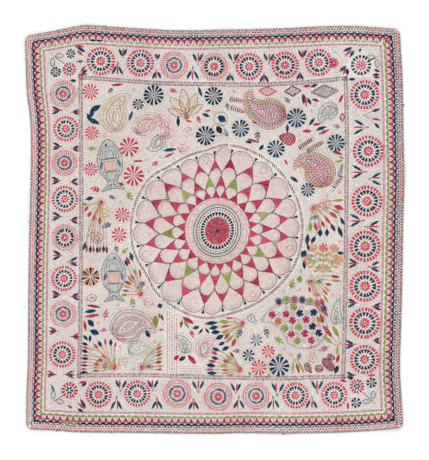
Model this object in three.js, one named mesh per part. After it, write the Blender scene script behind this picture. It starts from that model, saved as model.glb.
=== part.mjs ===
// A kantha quilt: layers of old cotton held together by running stitch, lying face up.
// It is one sheet with an uneven hand-cut outline, soft rises where it stands off the surface,
// and quilting that puffs between the stitched lines. Millimetres, +Z up, +Y towards the top edge.
import * as THREE from "three";

// Driving dimensions
const WIDTH = 833;
const LENGTH = 898;
const THICKNESS = 2.2;
const CORNER_RADIUS = 12;
const COTTON_COLOUR = 0xd6c9c3;
const COTTON_ROUGHNESS = 0.95;

// How far each edge runs inside the WIDTH by LENGTH rectangle.
// along is measured from the middle of the edge, to the right or upwards.
const EDGES = {
  top: [
    { along: -417, inward: 25 },
    { along: -350, inward: 12 },
    { along: -300, inward: 2 },
    { along: -270, inward: 0.5 },
    { along: -220, inward: 3.5 },
    { along: -90, inward: 11 },
    { along: 20, inward: 10.5 },
    { along: 150, inward: 7.2 },
    { along: 305, inward: 1.5 },
    { along: 417, inward: 9.5 },
  ],
  bottom: [
    { along: -417, inward: 11 },
    { along: -350, inward: 7 },
    { along: -310, inward: 3.5 },
    { along: -200, inward: 2.3 },
    { along: -60, inward: 0.3 },
    { along: 10, inward: 0 },
    { along: 60, inward: 1.6 },
    { along: 200, inward: 0.9 },
    { along: 335, inward: 5.5 },
    { along: 417, inward: 14 },
  ],
  left: [
    { along: -449, inward: 3 },
    { along: -370, inward: 3 },
    { along: -300, inward: 6 },
    { along: -160, inward: 7 },
    { along: -40, inward: 8.5 },
    { along: 30, inward: 10.5 },
    { along: 190, inward: 13 },
    { along: 262, inward: 11 },
    { along: 320, inward: 4 },
    { along: 385, inward: 1.5 },
    { along: 449, inward: 0 },
  ],
  right: [
    { along: -449, inward: 3 },
    { along: -390, inward: 5.5 },
    { along: -315, inward: 9.5 },
    { along: -235, inward: 7.2 },
    { along: -125, inward: 4.3 },
    { along: 10, inward: 2.2 },
    { along: 100, inward: 0 },
    { along: 245, inward: 2 },
    { along: 350, inward: 4 },
    { along: 449, inward: 11 },
  ],
};

// Soft rises where the cloth stands off the surface: middle, half sizes, turn in degrees, height.
const RISES = [
  { x: -392, y: 405, along: 95, across: 48, turn: -45, height: 5 },
  { x: -282, y: 430, along: 95, across: 34, turn: 82, height: 3.5 },
  { x: 20, y: 446, along: 70, across: 60, turn: 90, height: 2.5 },
  { x: 385, y: 425, along: 80, across: 45, turn: 40, height: 4 },
  { x: 412, y: 120, along: 75, across: 62, turn: 0, height: 3 },
  { x: 395, y: -425, along: 85, across: 50, turn: -48, height: 5 },
  { x: 130, y: -446, along: 65, across: 70, turn: 95, height: 2.5 },
  { x: -395, y: -428, along: 75, across: 45, turn: 50, height: 4 },
  { x: -410, y: 40, along: 65, across: 75, turn: 5, height: 3 },
  { x: -190, y: 262, along: 85, across: 26, turn: 38, height: 1.6 },
  { x: 215, y: -250, along: 90, across: 28, turn: 42, height: 1.6 },
];

// Height of the quilting over the border bands, from the rim inwards.
const BANDS = [
  { inset: 0, rise: 0 },
  { inset: 3, rise: 0.5 },
  { inset: 14, rise: 0 },
  { inset: 20, rise: 0.45 },
  { inset: 34, rise: 0.2 },
  { inset: 45, rise: -0.35 },
  { inset: 60, rise: 0.1 },
];

// The stitched frame between the border and the field, by its distance from each edge.
const FRAME_INSET = { left: 113, right: 126, top: 120.5, bottom: 125 };
const FRAME_WIDTH = 9;
const FRAME_RISE = 0.35;
const FRAME_GROOVE = 14;

// Wheel rosettes along the four sides.
const ROSETTE_RISE = 0.55;
const ROSETTES = [
  { side: "top", inset: 79, radius: 30, along: [-250, -164, -90, -2, 76, 155, 229] },
  { side: "bottom", inset: 83, radius: 29, along: [-256, -171, -85, 7, 91, 178, 263] },
  { side: "left", inset: 75, radius: 28, along: [297, 221, 146, 67, -20, -108, -186, -275] },
  { side: "right", inset: 80, radius: 32, along: [296, 173, 61, -38, -125, -207, -287] },
];

// The lotus medallion: rows of petals round a disc, each row padded between its stitched outlines.
const LOTUS = { x: 6, y: -3, petals: 22, reach: 197 };
const PETAL_RISE = 0.7;
const PETAL_ROWS = [
  { inner: 0, outer: 28, petals: 0, step: 0 },
  { inner: 28, outer: 68, petals: 0, step: 0 },
  { inner: 68, outer: 99, petals: LOTUS.petals, step: 0 },
  { inner: 99, outer: 137, petals: LOTUS.petals, step: 0.5 },
  { inner: 137, outer: 183, petals: LOTUS.petals, step: 0 },
  { inner: 183, outer: LOTUS.reach, petals: 0, step: 0 },
];

// Grid lines of the upper face: close together over the border bands, even over the field.
const BORDER_LINES = [0, 3, 14, 20, 34, 45, 62, 79, 95];
const FIELD_CELLS_ACROSS = 36;
const FIELD_CELLS_ALONG = 40;

// A smooth curve through the rows of a table.
function curveThrough(rows, at, value) {
  return (x) => {
    let i = 0;
    while (i < rows.length - 2 && rows[i + 1][at] < x) i += 1;
    const before = rows[Math.max(i - 1, 0)];
    const start = rows[i];
    const end = rows[i + 1];
    const after = rows[Math.min(i + 2, rows.length - 1)];
    const span = end[at] - start[at];
    const t = THREE.MathUtils.clamp((x - start[at]) / span, 0, 1);
    const startSlope = (span * (end[value] - before[value])) / (end[at] - before[at]);
    const endSlope = (span * (after[value] - start[value])) / (after[at] - start[at]);
    const t2 = t * t;
    const t3 = t2 * t;
    return (
      (2 * t3 - 3 * t2 + 1) * start[value] +
      (t3 - 2 * t2 + t) * startSlope +
      (3 * t2 - 2 * t3) * end[value] +
      (t3 - t2) * endSlope
    );
  };
}

const edge = {};
for (const side of Object.keys(EDGES)) edge[side] = curveThrough(EDGES[side], "along", "inward");
const bandHeight = curveThrough(BANDS, "inset", "rise");

// Turns a square corner of the plain rectangle into a round one.
function roundCorner(a, b) {
  const p = (Math.abs(a) - (WIDTH / 2 - CORNER_RADIUS)) / CORNER_RADIUS;
  const q = (Math.abs(b) - (LENGTH / 2 - CORNER_RADIUS)) / CORNER_RADIUS;
  if (p <= 0 || q <= 0) return [a, b];
  return [
    Math.sign(a) * (WIDTH / 2 - CORNER_RADIUS * (1 - p * Math.sqrt(1 - (q * q) / 2))),
    Math.sign(b) * (LENGTH / 2 - CORNER_RADIUS * (1 - q * Math.sqrt(1 - (p * p) / 2))),
  ];
}

// Carries a point of the plain rectangle to where it lies on the uneven cloth.
function layOut(a, b) {
  const [x, y] = roundCorner(a, b);
  const u = x / WIDTH + 0.5;
  const v = y / LENGTH + 0.5;
  return [
    x + (1 - u) * edge.left(y) - u * edge.right(y),
    y + (1 - v) * edge.bottom(x) - v * edge.top(x),
  ];
}

// Height of the underside above the surface.
function riseAt(x, y) {
  let height = 0;
  for (const rise of RISES) {
    const turn = THREE.MathUtils.degToRad(rise.turn);
    const along = ((x - rise.x) * Math.cos(turn) + (y - rise.y) * Math.sin(turn)) / rise.along;
    const across = ((y - rise.y) * Math.cos(turn) - (x - rise.x) * Math.sin(turn)) / rise.across;
    const share = Math.max(0, 1 - along * along - across * across);
    height = Math.max(height, rise.height * share * share);
  }
  return height;
}

// Middle of each rosette on the cloth, measured in from the uneven edge.
function rosetteMiddle(row, along) {
  const inset = row.inset + edge[row.side](along);
  if (row.side === "top") return [along, LENGTH / 2 - inset];
  if (row.side === "bottom") return [along, inset - LENGTH / 2];
  if (row.side === "left") return [inset - WIDTH / 2, along];
  return [WIDTH / 2 - inset, along];
}

const rosettes = ROSETTES.flatMap((row) =>
  row.along.map((along) => {
    const [x, y] = rosetteMiddle(row, along);
    return { x, y, radius: row.radius };
  }),
);

function rosettePuff(x, y) {
  for (const rosette of rosettes) {
    const share = Math.hypot(x - rosette.x, y - rosette.y) / rosette.radius;
    if (share < 1) return ROSETTE_RISE * (1 - share * share);
  }
  return 0;
}

// How far a point lies outside the frame line, towards the rim.
function beyondFrame(a, b) {
  return Math.max(
    FRAME_INSET.left - (a + WIDTH / 2),
    FRAME_INSET.right - (WIDTH / 2 - a),
    FRAME_INSET.top - (LENGTH / 2 - b),
    FRAME_INSET.bottom - (b + LENGTH / 2),
  );
}

function framePuff(a, b) {
  const away = Math.abs(beyondFrame(a, b));
  if (away < FRAME_WIDTH / 2) return FRAME_RISE;
  return away < FRAME_GROOVE ? -FRAME_RISE * (1 - away / FRAME_GROOVE) : 0;
}

function lotusPuff(x, y) {
  const radius = Math.hypot(x - LOTUS.x, y - LOTUS.y);
  const turn = Math.atan2(y - LOTUS.y, x - LOTUS.x) / (2 * Math.PI);
  const row = PETAL_ROWS.find((petalRow) => radius >= petalRow.inner && radius < petalRow.outer);
  if (!row) return 0;
  const lengthwise = Math.sin((Math.PI * (radius - row.inner)) / (row.outer - row.inner));
  const sideways = row.petals ? Math.abs(Math.cos(Math.PI * (turn * row.petals + row.step))) : 1;
  return PETAL_RISE * lengthwise * sideways;
}

// Height of the upper face over the underside.
function thicknessAt(a, b) {
  const [x, y] = layOut(a, b);
  const inset = Math.min(WIDTH / 2 - Math.abs(a), LENGTH / 2 - Math.abs(b));
  const bands = bandHeight(Math.min(inset, BANDS[BANDS.length - 1].inset));
  return THICKNESS + bands + rosettePuff(x, y) + framePuff(a, b) + lotusPuff(x, y);
}

// Grid lines across the sheet, from one rim to the other.
function gridLines(size, lowInset, highInset, fieldCells) {
  const low = [...BORDER_LINES, lowInset - FRAME_WIDTH].map((inset) => inset - size / 2);
  const high = [...BORDER_LINES, highInset - FRAME_WIDTH].map((inset) => size / 2 - inset).reverse();
  const start = lowInset - size / 2;
  const step = (size - lowInset - highInset) / fieldCells;
  const field = Array.from({ length: fieldCells + 1 }, (_, i) => start + i * step);
  return [...low, ...field, ...high];
}

const columns = gridLines(WIDTH, FRAME_INSET.left, FRAME_INSET.right, FIELD_CELLS_ACROSS);
const rows = gridLines(LENGTH, FRAME_INSET.bottom, FRAME_INSET.top, FIELD_CELLS_ALONG);

// The closed sheet: a fine upper face, an underside with half as many lines, and the rim between.
function quiltGeometry() {
  const points = [];
  const faces = [];
  const lastColumn = columns.length - 1;
  const lastRow = rows.length - 1;
  const upper = (i, j) => i + j * columns.length;
  const lower = (i, j) => upper(i, j) + columns.length * rows.length;
  const quad = (p, q, r, s) => faces.push(p, q, r, p, r, s);

  for (const upperFace of [true, false]) {
    for (const b of rows) {
      for (const a of columns) {
        const [x, y] = layOut(a, b);
        points.push(x, y, riseAt(x, y) + (upperFace ? thicknessAt(a, b) : 0));
      }
    }
  }

  for (let j = 0; j < lastRow; j += 1) {
    for (let i = 0; i < lastColumn; i += 1) {
      quad(upper(i, j), upper(i + 1, j), upper(i + 1, j + 1), upper(i, j + 1));
    }
  }

  // Each cell of the underside spans two by two upper ones, and keeps the rim's extra points.
  for (let j = 0; j < lastRow; j += 2) {
    for (let i = 0; i < lastColumn; i += 2) {
      const ring = [lower(i, j)];
      if (i === 0) ring.push(lower(0, j + 1));
      ring.push(lower(i, j + 2));
      if (j === lastRow - 2) ring.push(lower(i + 1, lastRow));
      ring.push(lower(i + 2, j + 2));
      if (i === lastColumn - 2) ring.push(lower(lastColumn, j + 1));
      ring.push(lower(i + 2, j));
      if (j === 0) ring.push(lower(i + 1, 0));
      const innerCorner = lower(i === 0 ? 2 : i, j === 0 ? 2 : j);
      fan(ring, innerCorner, faces);
    }
  }

  for (let i = 0; i < lastColumn; i += 1) {
    quad(lower(i, 0), lower(i + 1, 0), upper(i + 1, 0), upper(i, 0));
    quad(lower(i + 1, lastRow), lower(i, lastRow), upper(i, lastRow), upper(i + 1, lastRow));
  }
  for (let j = 0; j < lastRow; j += 1) {
    quad(lower(0, j + 1), lower(0, j), upper(0, j), upper(0, j + 1));
    quad(lower(lastColumn, j), lower(lastColumn, j + 1), upper(lastColumn, j + 1), upper(lastColumn, j));
  }

  const geometry = new THREE.BufferGeometry();
  geometry.setAttribute("position", new THREE.Float32BufferAttribute(points, 3));
  geometry.setIndex(faces);
  return geometry;
}

// Fills a ring of points with triangles that share one of its points.
function fan(ring, hub, faces) {
  const first = ring.indexOf(hub);
  for (let step = 1; step < ring.length - 1; step += 1) {
    faces.push(hub, ring[(first + step) % ring.length], ring[(first + step + 1) % ring.length]);
  }
}

// Puts the middle of the sheet's own box over the origin.
function centred(geometry) {
  geometry.computeBoundingBox();
  const middle = geometry.boundingBox.getCenter(new THREE.Vector3());
  return geometry.translate(-middle.x, -middle.y, 0);
}

const geometry = centred(quiltGeometry());
geometry.computeVertexNormals();
const cotton = new THREE.MeshStandardMaterial({
  color: COTTON_COLOUR,
  roughness: COTTON_ROUGHNESS,
  metalness: 0,
});
const quilt = new THREE.Mesh(geometry, cotton);
quilt.name = "quilt";

const kantha = new THREE.Group();
kantha.add(quilt);

export default kantha;
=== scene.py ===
import math

import bpy
import numpy as np
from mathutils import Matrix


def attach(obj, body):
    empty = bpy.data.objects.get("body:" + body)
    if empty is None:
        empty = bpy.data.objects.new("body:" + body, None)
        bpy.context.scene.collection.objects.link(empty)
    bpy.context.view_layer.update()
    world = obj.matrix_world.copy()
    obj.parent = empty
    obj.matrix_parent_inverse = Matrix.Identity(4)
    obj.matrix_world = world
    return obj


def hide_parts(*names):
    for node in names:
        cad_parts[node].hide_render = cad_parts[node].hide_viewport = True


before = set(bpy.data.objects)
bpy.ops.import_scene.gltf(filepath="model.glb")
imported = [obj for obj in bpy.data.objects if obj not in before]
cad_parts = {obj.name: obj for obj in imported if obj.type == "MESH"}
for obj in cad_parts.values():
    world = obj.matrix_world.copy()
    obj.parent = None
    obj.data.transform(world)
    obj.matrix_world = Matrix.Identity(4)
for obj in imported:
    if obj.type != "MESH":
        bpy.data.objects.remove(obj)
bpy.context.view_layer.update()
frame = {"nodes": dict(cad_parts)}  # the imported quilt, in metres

scene = bpy.context.scene
rng = np.random.default_rng(1887)
tau = 2 * math.pi
print("frame loaded:", ", ".join(frame["nodes"]))

# Camera: straight above the middle of the cloth
shot = {"height": 3.0, "seen": 1.012, "middle": (-0.0003, -0.0011), "sensor": 36.0}
lensData = bpy.data.cameras.new("overheadCamera")
lensData.sensor_width = shot["sensor"]
lensData.lens = shot["sensor"] * shot["height"] / shot["seen"]
camera = bpy.data.objects.new("overheadCamera", lensData)
camera.location = (*shot["middle"], shot["height"])
scene.collection.objects.link(camera)
scene.camera = camera

# How the cloth lies, in millimetres from its middle
quilt = {
    "width": 833.0,
    "length": 898.0,
    "thickness": 2.2,
    "cornerRadius": 12.0,
    # how far each edge runs inside the plain rectangle: place along the edge, inward
    "edges": {
        "top": [(-417, 25), (-350, 12), (-300, 2), (-270, 0.5), (-220, 3.5), (-90, 11),
                (20, 10.5), (150, 7.2), (305, 1.5), (417, 9.5)],
        "bottom": [(-417, 11), (-350, 7), (-310, 3.5), (-200, 2.3), (-60, 0.3), (10, 0),
                   (60, 1.6), (200, 0.9), (335, 5.5), (417, 14)],
        "left": [(-449, 3), (-370, 3), (-300, 6), (-160, 7), (-40, 8.5), (30, 10.5),
                 (190, 13), (262, 11), (320, 4), (385, 1.5), (449, 0)],
        "right": [(-449, 3), (-390, 5.5), (-315, 9.5), (-235, 7.2), (-125, 4.3), (10, 2.2),
                  (100, 0), (245, 2), (350, 4), (449, 11)],
    },
    # soft rises off the surface: x, y, half length, half width, turn, height
    "rises": [(-392, 405, 95, 48, -45, 5), (-282, 430, 95, 34, 82, 3.5), (20, 446, 70, 60, 90, 2.5),
              (385, 425, 80, 45, 40, 4), (412, 120, 75, 62, 0, 3), (395, -425, 85, 50, -48, 5),
              (130, -446, 65, 70, 95, 2.5), (-395, -428, 75, 45, 50, 4), (-410, 40, 65, 75, 5, 3),
              (-190, 262, 85, 26, 38, 1.6), (215, -250, 90, 28, 42, 1.6)],
    # height of the border bands by distance from the rim
    "bands": [(0, -0.5), (2.2, 0.5), (14, 0), (20, 0.45), (34, 0.2), (45, -0.35), (60, 0.1)],
    "bandsEnd": 60,
    "rosetteRise": 0.55,
    "petalRise": 0.7,
    "frameRise": 0.35,
    "frameHalf": 4.5,  # half the width of the raised braid
    "frameDip": 14,  # where the dip beside the braid ends
    "pucker": 0.14,
    "flatRim": 6,  # the pucker fades out this close to the rim
    # waves of the pucker: rate, swing and how fast the swing changes
    "puckerAcross": (0.45, 2.1, 0.083),
    "puckerAlong": (0.42, 1.7, 0.071),
    "puckerSlant": (0.31, 1.3, 0.05),
    "slantShare": 0.8,
    "cellsAcross": 212,
    "cellsAlong": 228,
    "rimSteps": (1.2, 2.6),  # closer lines of points at the rim
    "coarse": 4,  # upper cells across one cell of the underside
}
halfWidth, halfLength = quilt["width"] / 2, quilt["length"] / 2
sides = {"top": halfWidth, "bottom": halfWidth, "left": halfLength, "right": halfLength}

def curveThrough(rows):
    at, value = np.array(rows, float).T

    def curve(x):
        x = np.asarray(x, float)
        i = np.clip(np.searchsorted(at, x) - 1, 0, len(at) - 2)
        before, after = np.maximum(i - 1, 0), np.minimum(i + 2, len(at) - 1)
        span = at[i + 1] - at[i]
        t = np.clip((x - at[i]) / span, 0, 1)
        startSlope = span * (value[i + 1] - value[before]) / (at[i + 1] - at[before])
        endSlope = span * (value[after] - value[i]) / (at[after] - at[i])
        return ((2 * t**3 - 3 * t**2 + 1) * value[i] + (t**3 - 2 * t**2 + t) * startSlope
                + (3 * t**2 - 2 * t**3) * value[i + 1] + (t**3 - t**2) * endSlope)

    return curve

edge = {side: curveThrough(rows) for side, rows in quilt["edges"].items()}
bandHeight = curveThrough(quilt["bands"])

def roundCorner(a, b):
    r = quilt["cornerRadius"]
    p, q = (np.abs(a) - halfWidth + r) / r, (np.abs(b) - halfLength + r) / r
    corner = (p > 0) & (q > 0)
    p, q = np.where(corner, p, 0), np.where(corner, q, 0)
    x = np.sign(a) * (halfWidth - r * (1 - p * np.sqrt(1 - q * q / 2)))
    y = np.sign(b) * (halfLength - r * (1 - q * np.sqrt(1 - p * p / 2)))
    return np.where(corner, x, a), np.where(corner, y, b)

def layOut(a, b):  # plain rectangle to the uneven cloth
    x, y = roundCorner(np.asarray(a, float), np.asarray(b, float))
    u, v = x / quilt["width"] + 0.5, y / quilt["length"] + 0.5
    return (x + (1 - u) * edge["left"](y) - u * edge["right"](y),
            y + (1 - v) * edge["bottom"](x) - v * edge["top"](x))

def planOf(x, y):  # back from the uneven cloth to the plain rectangle
    a, b = np.array(x, float), np.array(y, float)
    for _ in range(4):
        u, v = a / quilt["width"] + 0.5, b / quilt["length"] + 0.5
        a, b = (x - (1 - u) * edge["left"](b) + u * edge["right"](b),
                y - (1 - v) * edge["bottom"](a) + v * edge["top"](a))
    return a, b

def riseAt(x, y):
    height = np.zeros(np.shape(x))
    for midX, midY, long, wide, turn, top in quilt["rises"]:
        c, s = math.cos(math.radians(turn)), math.sin(math.radians(turn))
        along = ((x - midX) * c + (y - midY) * s) / long
        across = ((y - midY) * c - (x - midX) * s) / wide
        height = np.maximum(height, top * np.maximum(0, 1 - along**2 - across**2) ** 2)
    return height

# Rosettes: x, y, radius, and how each one is filled
rosettes = [
    (-250, 370, 30, "wedges"), (-163, 366, 29, "wedges"), (-89, 361, 29, "swirl"), (-1, 358, 29, "mixed"),
    (76, 358, 29, "wedges"), (155, 361, 29, "mixed2"), (229, 367, 29, "wedges"), (322, 361, 22, "single"),
    (-255, -363, 28, "wedges"), (-170, -361, 28, "wedges"), (-82, -361, 30, "swirl"),
    (8, -368, 30, "swirl"), (91, -366, 29, "swirl"), (178, -365, 28, "wedges"), (263, -364, 28, "wedges"),
    (-333, 298, 28, "swirl"), (-327, 221, 27, "wedges"), (-330, 146, 27, "swirl"),
    (-329, 67, 28, "wedges"), (-329, -18, 28, "mixed"), (-331, -108, 27, "wedges"),
    (-333, -186, 28, "swirl"), (-335, -275, 28, "wedges"), (330, 296, 31, "wedges"),
    (338, 172, 33, "wedges"), (335, 62, 33, "wedges"), (331, -37, 33, "wedges"),
    (331, -125, 33, "wedges"), (330, -206, 33, "wedges"), (330, -286, 31, "wedges"),
]
# Lotus rows: inner and outer radius, petals, and the row's shift in petals
lotus = {"x": 6.0, "y": -3.0, "turn": math.radians(3.4),
         "rows": [(0, 28, 0, 0), (28, 68, 0, 0), (68, 99, 22, 0), (99, 137, 22, 0.5), (137, 183, 22, 0),
                  (183, 197, 0, 0)]}
# The stitched frame round the field: the middle of its braid along each side
frameRows = {
    "top": [(-295, 334), (-200, 327), (-120, 321.5), (0, 319), (100, 318.5), (200, 323.5), (289, 333)],
    "bottom": [(-298, -321), (-150, -320.5), (-50, -324), (50, -326), (150, -327), (250, -324), (284, -323)],
    "left": [(-321, -298), (-250, -296), (-100, -294), (100, -293), (334, -295)],
    "right": [(-323, 283), (-250, 285), (-100, 288), (100, 290), (200, 291), (333, 288)],
}
frameLine = {side: curveThrough(rows) for side, rows in frameRows.items()}

def beyondFrame(x, y):
    return np.maximum.reduce([y - frameLine["top"](x), frameLine["bottom"](x) - y,
                              frameLine["left"](y) - x, x - frameLine["right"](y)])

def ripple(along, across, rate, swing, change):
    return np.sin(along * rate + swing * np.sin(across * change))

def thicknessAt(x, y):
    a, b = planOf(x, y)
    inset = np.clip(np.minimum(halfWidth - np.abs(a), halfLength - np.abs(b)), 0, quilt["bandsEnd"])
    height = quilt["thickness"] + bandHeight(inset)
    for midX, midY, radius, _ in rosettes:
        share = np.hypot(x - midX, y - midY) / radius
        height = height + quilt["rosetteRise"] * np.maximum(0, 1 - share * share)
    away = np.abs(beyondFrame(x, y))
    dip = -np.maximum(0, 1 - away / quilt["frameDip"])
    height = height + quilt["frameRise"] * np.where(away < quilt["frameHalf"], 1, dip)
    radius = np.hypot(x - lotus["x"], y - lotus["y"])
    turn = np.arctan2(y - lotus["y"], x - lotus["x"]) - lotus["turn"]
    for inner, outer, petals, step in lotus["rows"]:
        length = np.sin(math.pi * np.clip((radius - inner) / (outer - inner), 0, 1))
        sideways = np.abs(np.cos(turn * petals / 2 + math.pi * step)) if petals else 1
        height = height + quilt["petalRise"] * length * sideways
    # the cloth gathers a little between the rows of running stitch
    gather = ripple(x, y, *quilt["puckerAcross"]) * ripple(y, x, *quilt["puckerAlong"])
    gather = gather + quilt["slantShare"] * ripple(x + y, x - y, *quilt["puckerSlant"])
    return height + quilt["pucker"] * gather * np.clip(inset / quilt["flatRim"], 0, 1)

rimTurn = np.linspace(-1, 1, 1200)
rim = np.hstack([layOut(halfWidth * rimTurn, np.full_like(rimTurn, s * halfLength)) for s in (-1, 1)]
                + [layOut(np.full_like(rimTurn, s * halfWidth), halfLength * rimTurn) for s in (-1, 1)])
shift = (rim.min(axis=1) + rim.max(axis=1)) / 2  # puts the middle of the outline over the origin

def pairs(first, second):
    return np.column_stack([first, second])

def toMetres(x, y, z):
    return np.column_stack([x - shift[0], y - shift[1], z]) / 1000

def newPiece(name, points, faces, material):
    mesh = bpy.data.meshes.new(name)
    mesh.from_pydata(points, [], faces)
    mesh.materials.append(material)
    mesh.update()
    piece = bpy.data.objects.new(name, mesh)
    scene.collection.objects.link(piece)
    return piece

# Node trees: a group with its sockets, and nodes with their links or values
def newGroup(name, kind, inputs, outputs):
    tree = bpy.data.node_groups.new(name, kind)
    for socketName, socketType, *value in inputs:
        socket = tree.interface.new_socket(socketName, in_out="INPUT", socket_type="NodeSocket" + socketType)
        if value:
            socket.default_value = value[0]
    for socketName, socketType in outputs:
        tree.interface.new_socket(socketName, in_out="OUTPUT", socket_type="NodeSocket" + socketType)
    return tree, tree.nodes.new("NodeGroupInput").outputs, tree.nodes.new("NodeGroupOutput").inputs

def addNode(tree, kind, links=(), **values):  # links: input, then an output socket or a value
    node = tree.nodes.new(kind)
    for key, value in values.items():
        setattr(node, key, value)
    for key, source in links:
        if hasattr(source, "is_output"):
            tree.links.new(source, node.inputs[key])
        else:
            node.inputs[key].default_value = source
    return node

def addMath(tree, operation, *values, clamp=False):
    node = addNode(tree, "ShaderNodeMath", enumerate(values), operation=operation, use_clamp=clamp)
    return node.outputs[0]

def addMix(tree, share, first, second):
    node = addNode(tree, "ShaderNodeMix", [("Factor", share), ("A", first), ("B", second)], data_type="RGBA")
    return node.outputs["Result"]

def addRange(tree, value, low, high, top=1.0):
    limits = [("From Min", low), ("From Max", high), ("To Max", top)]
    return addNode(tree, "ShaderNodeMapRange", [("Value", value), *limits]).outputs[0]

def addBump(tree, height, strength, distance, *normal):
    links = [("Height", height), ("Strength", strength), ("Distance", distance)]
    links += [("Normal", under) for under in normal]
    return addNode(tree, "ShaderNodeBump", links).outputs["Normal"]

def srgb(red, green, blue):
    parts = [c / 255 for c in (red, green, blue)]
    return (*[c / 12.92 if c <= 0.04045 else ((c + 0.055) / 1.055) ** 2.4 for c in parts], 1.0)

# Spun thread: colour from deep to faded by stitch, with the ply's twist as height and as a painted highlight
# on its ridges
yarn = {"turns": 4.0, "plies": 2.0, "ridgeLight": 0.09, "bump": (0.35, 0.0001), "roughness": 0.8}

def makeSpunThread():
    tree, given, result = newGroup(
        "spunThread", "ShaderNodeTree",
        [("Deep", "Color", (0.5, 0.1, 0.1, 1)), ("Faded", "Color", (0.8, 0.4, 0.4, 1)),
         ("Turns", "Float", yarn["turns"])],
        [("Color", "Color"), ("Height", "Float")])
    shade = addNode(tree, "ShaderNodeAttribute", attribute_name="shade")
    strand = addNode(tree, "ShaderNodeAttribute", attribute_name="strand")
    split = addNode(tree, "ShaderNodeSeparateXYZ", [(0, strand.outputs["Vector"])])
    along = addMath(tree, "MULTIPLY", split.outputs["Y"], given["Turns"])
    around = addMath(tree, "MULTIPLY_ADD", split.outputs["X"], yarn["plies"], along)
    ply = addMath(tree, "SINE", addMath(tree, "MULTIPLY", around, tau))
    # the ply's ridges are painted lighter and its grooves darker: painted highlight and shade, added to the
    # stitch's own fade
    fadeAndRidgeHighlight = addMath(tree, "MULTIPLY_ADD", ply, yarn["ridgeLight"], shade.outputs["Fac"], clamp=True)
    colour = addMix(tree, fadeAndRidgeHighlight, given["Deep"], given["Faded"])
    tree.links.new(colour, result["Color"])
    tree.links.new(ply, result["Height"])
    return tree

# Plain weave: threads over and under, slow stains and small gathers
weaving = {"pitch": 2600.0, "stainSize": 9.0, "stainDetail": 5.0, "stainRoughness": 0.62, "gathers": 290.0,
           "uneven": 0.8}

def makePlainWeave():
    tree, given, result = newGroup(
        "plainWeave", "ShaderNodeTree",
        [("Vector", "Vector", (0, 0, 0)), ("Pitch", "Float", weaving["pitch"]),
         ("Stain Size", "Float", weaving["stainSize"])],
        [("Weave", "Float"), ("Stain", "Float"), ("Gather", "Float")])
    place = ("Vector", given["Vector"])
    split = addNode(tree, "ShaderNodeSeparateXYZ", [place])
    waves = []
    for axis in ("X", "Y"):
        phase = addMath(tree, "MULTIPLY", split.outputs[axis], given["Pitch"])
        waves.append(addMath(tree, "SINE", phase))
    weave = addMath(tree, "MULTIPLY", *waves)
    stain = addNode(tree, "ShaderNodeTexNoise", [place, ("Scale", given["Stain Size"]),
                                                 ("Detail", weaving["stainDetail"]),
                                                 ("Roughness", weaving["stainRoughness"])])
    gather = addNode(tree, "ShaderNodeTexVoronoi",
                     [place, ("Scale", weaving["gathers"]), ("Randomness", weaving["uneven"])],
                     feature="SMOOTH_F1")
    tree.links.new(weave, result["Weave"])
    tree.links.new(stain.outputs["Fac"], result["Stain"])
    tree.links.new(gather.outputs["Distance"], result["Gather"])
    return tree

spunThread, plainWeave = makeSpunThread(), makePlainWeave()

def newMaterial(name, roughness):
    material = bpy.data.materials.new(name)
    material.use_nodes = True
    shader = material.node_tree.nodes["Principled BSDF"]
    shader.inputs["Roughness"].default_value = roughness
    shader.inputs["Specular IOR Level"].default_value = 0.2
    return material, material.node_tree, shader

# Old washed cotton: colours, then where wear, blots and the painted shade in the hollows of the gathers begin
# and end and how strong they get
cotton = {
    "pale": (239, 234, 226), "worn": (224, 212, 205), "stain": (223, 217, 197), "dimpleShade": (168, 156, 154),
    "roughness": 0.95, "wear": (0.32, 0.7), "blots": (0.5, 0.7, 0.6), "dimpleShadeRange": (0.3, 0.62, 0.36),
    "blotSize": 4.2, "blotDetail": 3.0, "weaveBump": (0.25, 0.0001), "gatherBump": (0.5, -0.0012),
}

def makeCotton():
    material, tree, shader = newMaterial("oldCotton", cotton["roughness"])
    place = addNode(tree, "ShaderNodeTexCoord").outputs["Object"]
    weave = addNode(tree, "ShaderNodeGroup", [("Vector", place)], node_tree=plainWeave)
    blot = addNode(tree, "ShaderNodeTexNoise",
                   [("Vector", place), ("Scale", cotton["blotSize"]), ("Detail", cotton["blotDetail"])])
    colour = srgb(*cotton["pale"])
    worn, stained, gather = weave.outputs["Stain"], blot.outputs["Fac"], weave.outputs["Gather"]
    # the hollows of the gathers are painted darker: painted shade
    tints = (("worn", worn, "wear"), ("stain", stained, "blots"), ("dimpleShade", gather, "dimpleShadeRange"))
    for tint, source, limits in tints:
        colour = addMix(tree, addRange(tree, source, *cotton[limits]), colour, srgb(*cotton[tint]))
    tree.links.new(colour, shader.inputs["Base Color"])
    fine = addBump(tree, weave.outputs["Weave"], *cotton["weaveBump"])
    tree.links.new(addBump(tree, gather, *cotton["gatherBump"], fine), shader.inputs["Normal"])
    return material

# Threads: deep and faded colour
threads = {
    "madder": ((182, 8, 68), (236, 102, 134)),
    "rose": ((206, 40, 72), (236, 112, 128)),
    "blush": ((204, 108, 120), (234, 172, 174)),
    "indigo": ((2, 28, 56), (16, 92, 140)),
    "steel": ((36, 80, 120), (140, 174, 198)),
    "slate": ((22, 28, 34), (84, 90, 94)),
    "ink": ((16, 24, 28), (72, 80, 82)),
    "lime": ((144, 158, 54), (196, 206, 126)),
    "ochre": ((202, 108, 24), (234, 168, 84)),
    "lilac": ((110, 90, 122), (172, 154, 178)),
    "wine": ((84, 4, 38), (144, 50, 82)),
    "peach": ((224, 150, 92), (240, 190, 146)),
    "mist": ((134, 146, 138), (190, 198, 188)),
    "dove": ((150, 132, 130), (204, 192, 188)),
    "cream": ((232, 228, 219), (252, 249, 243)),
    "teal": ((18, 44, 60), (100, 124, 130)),
}

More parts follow.
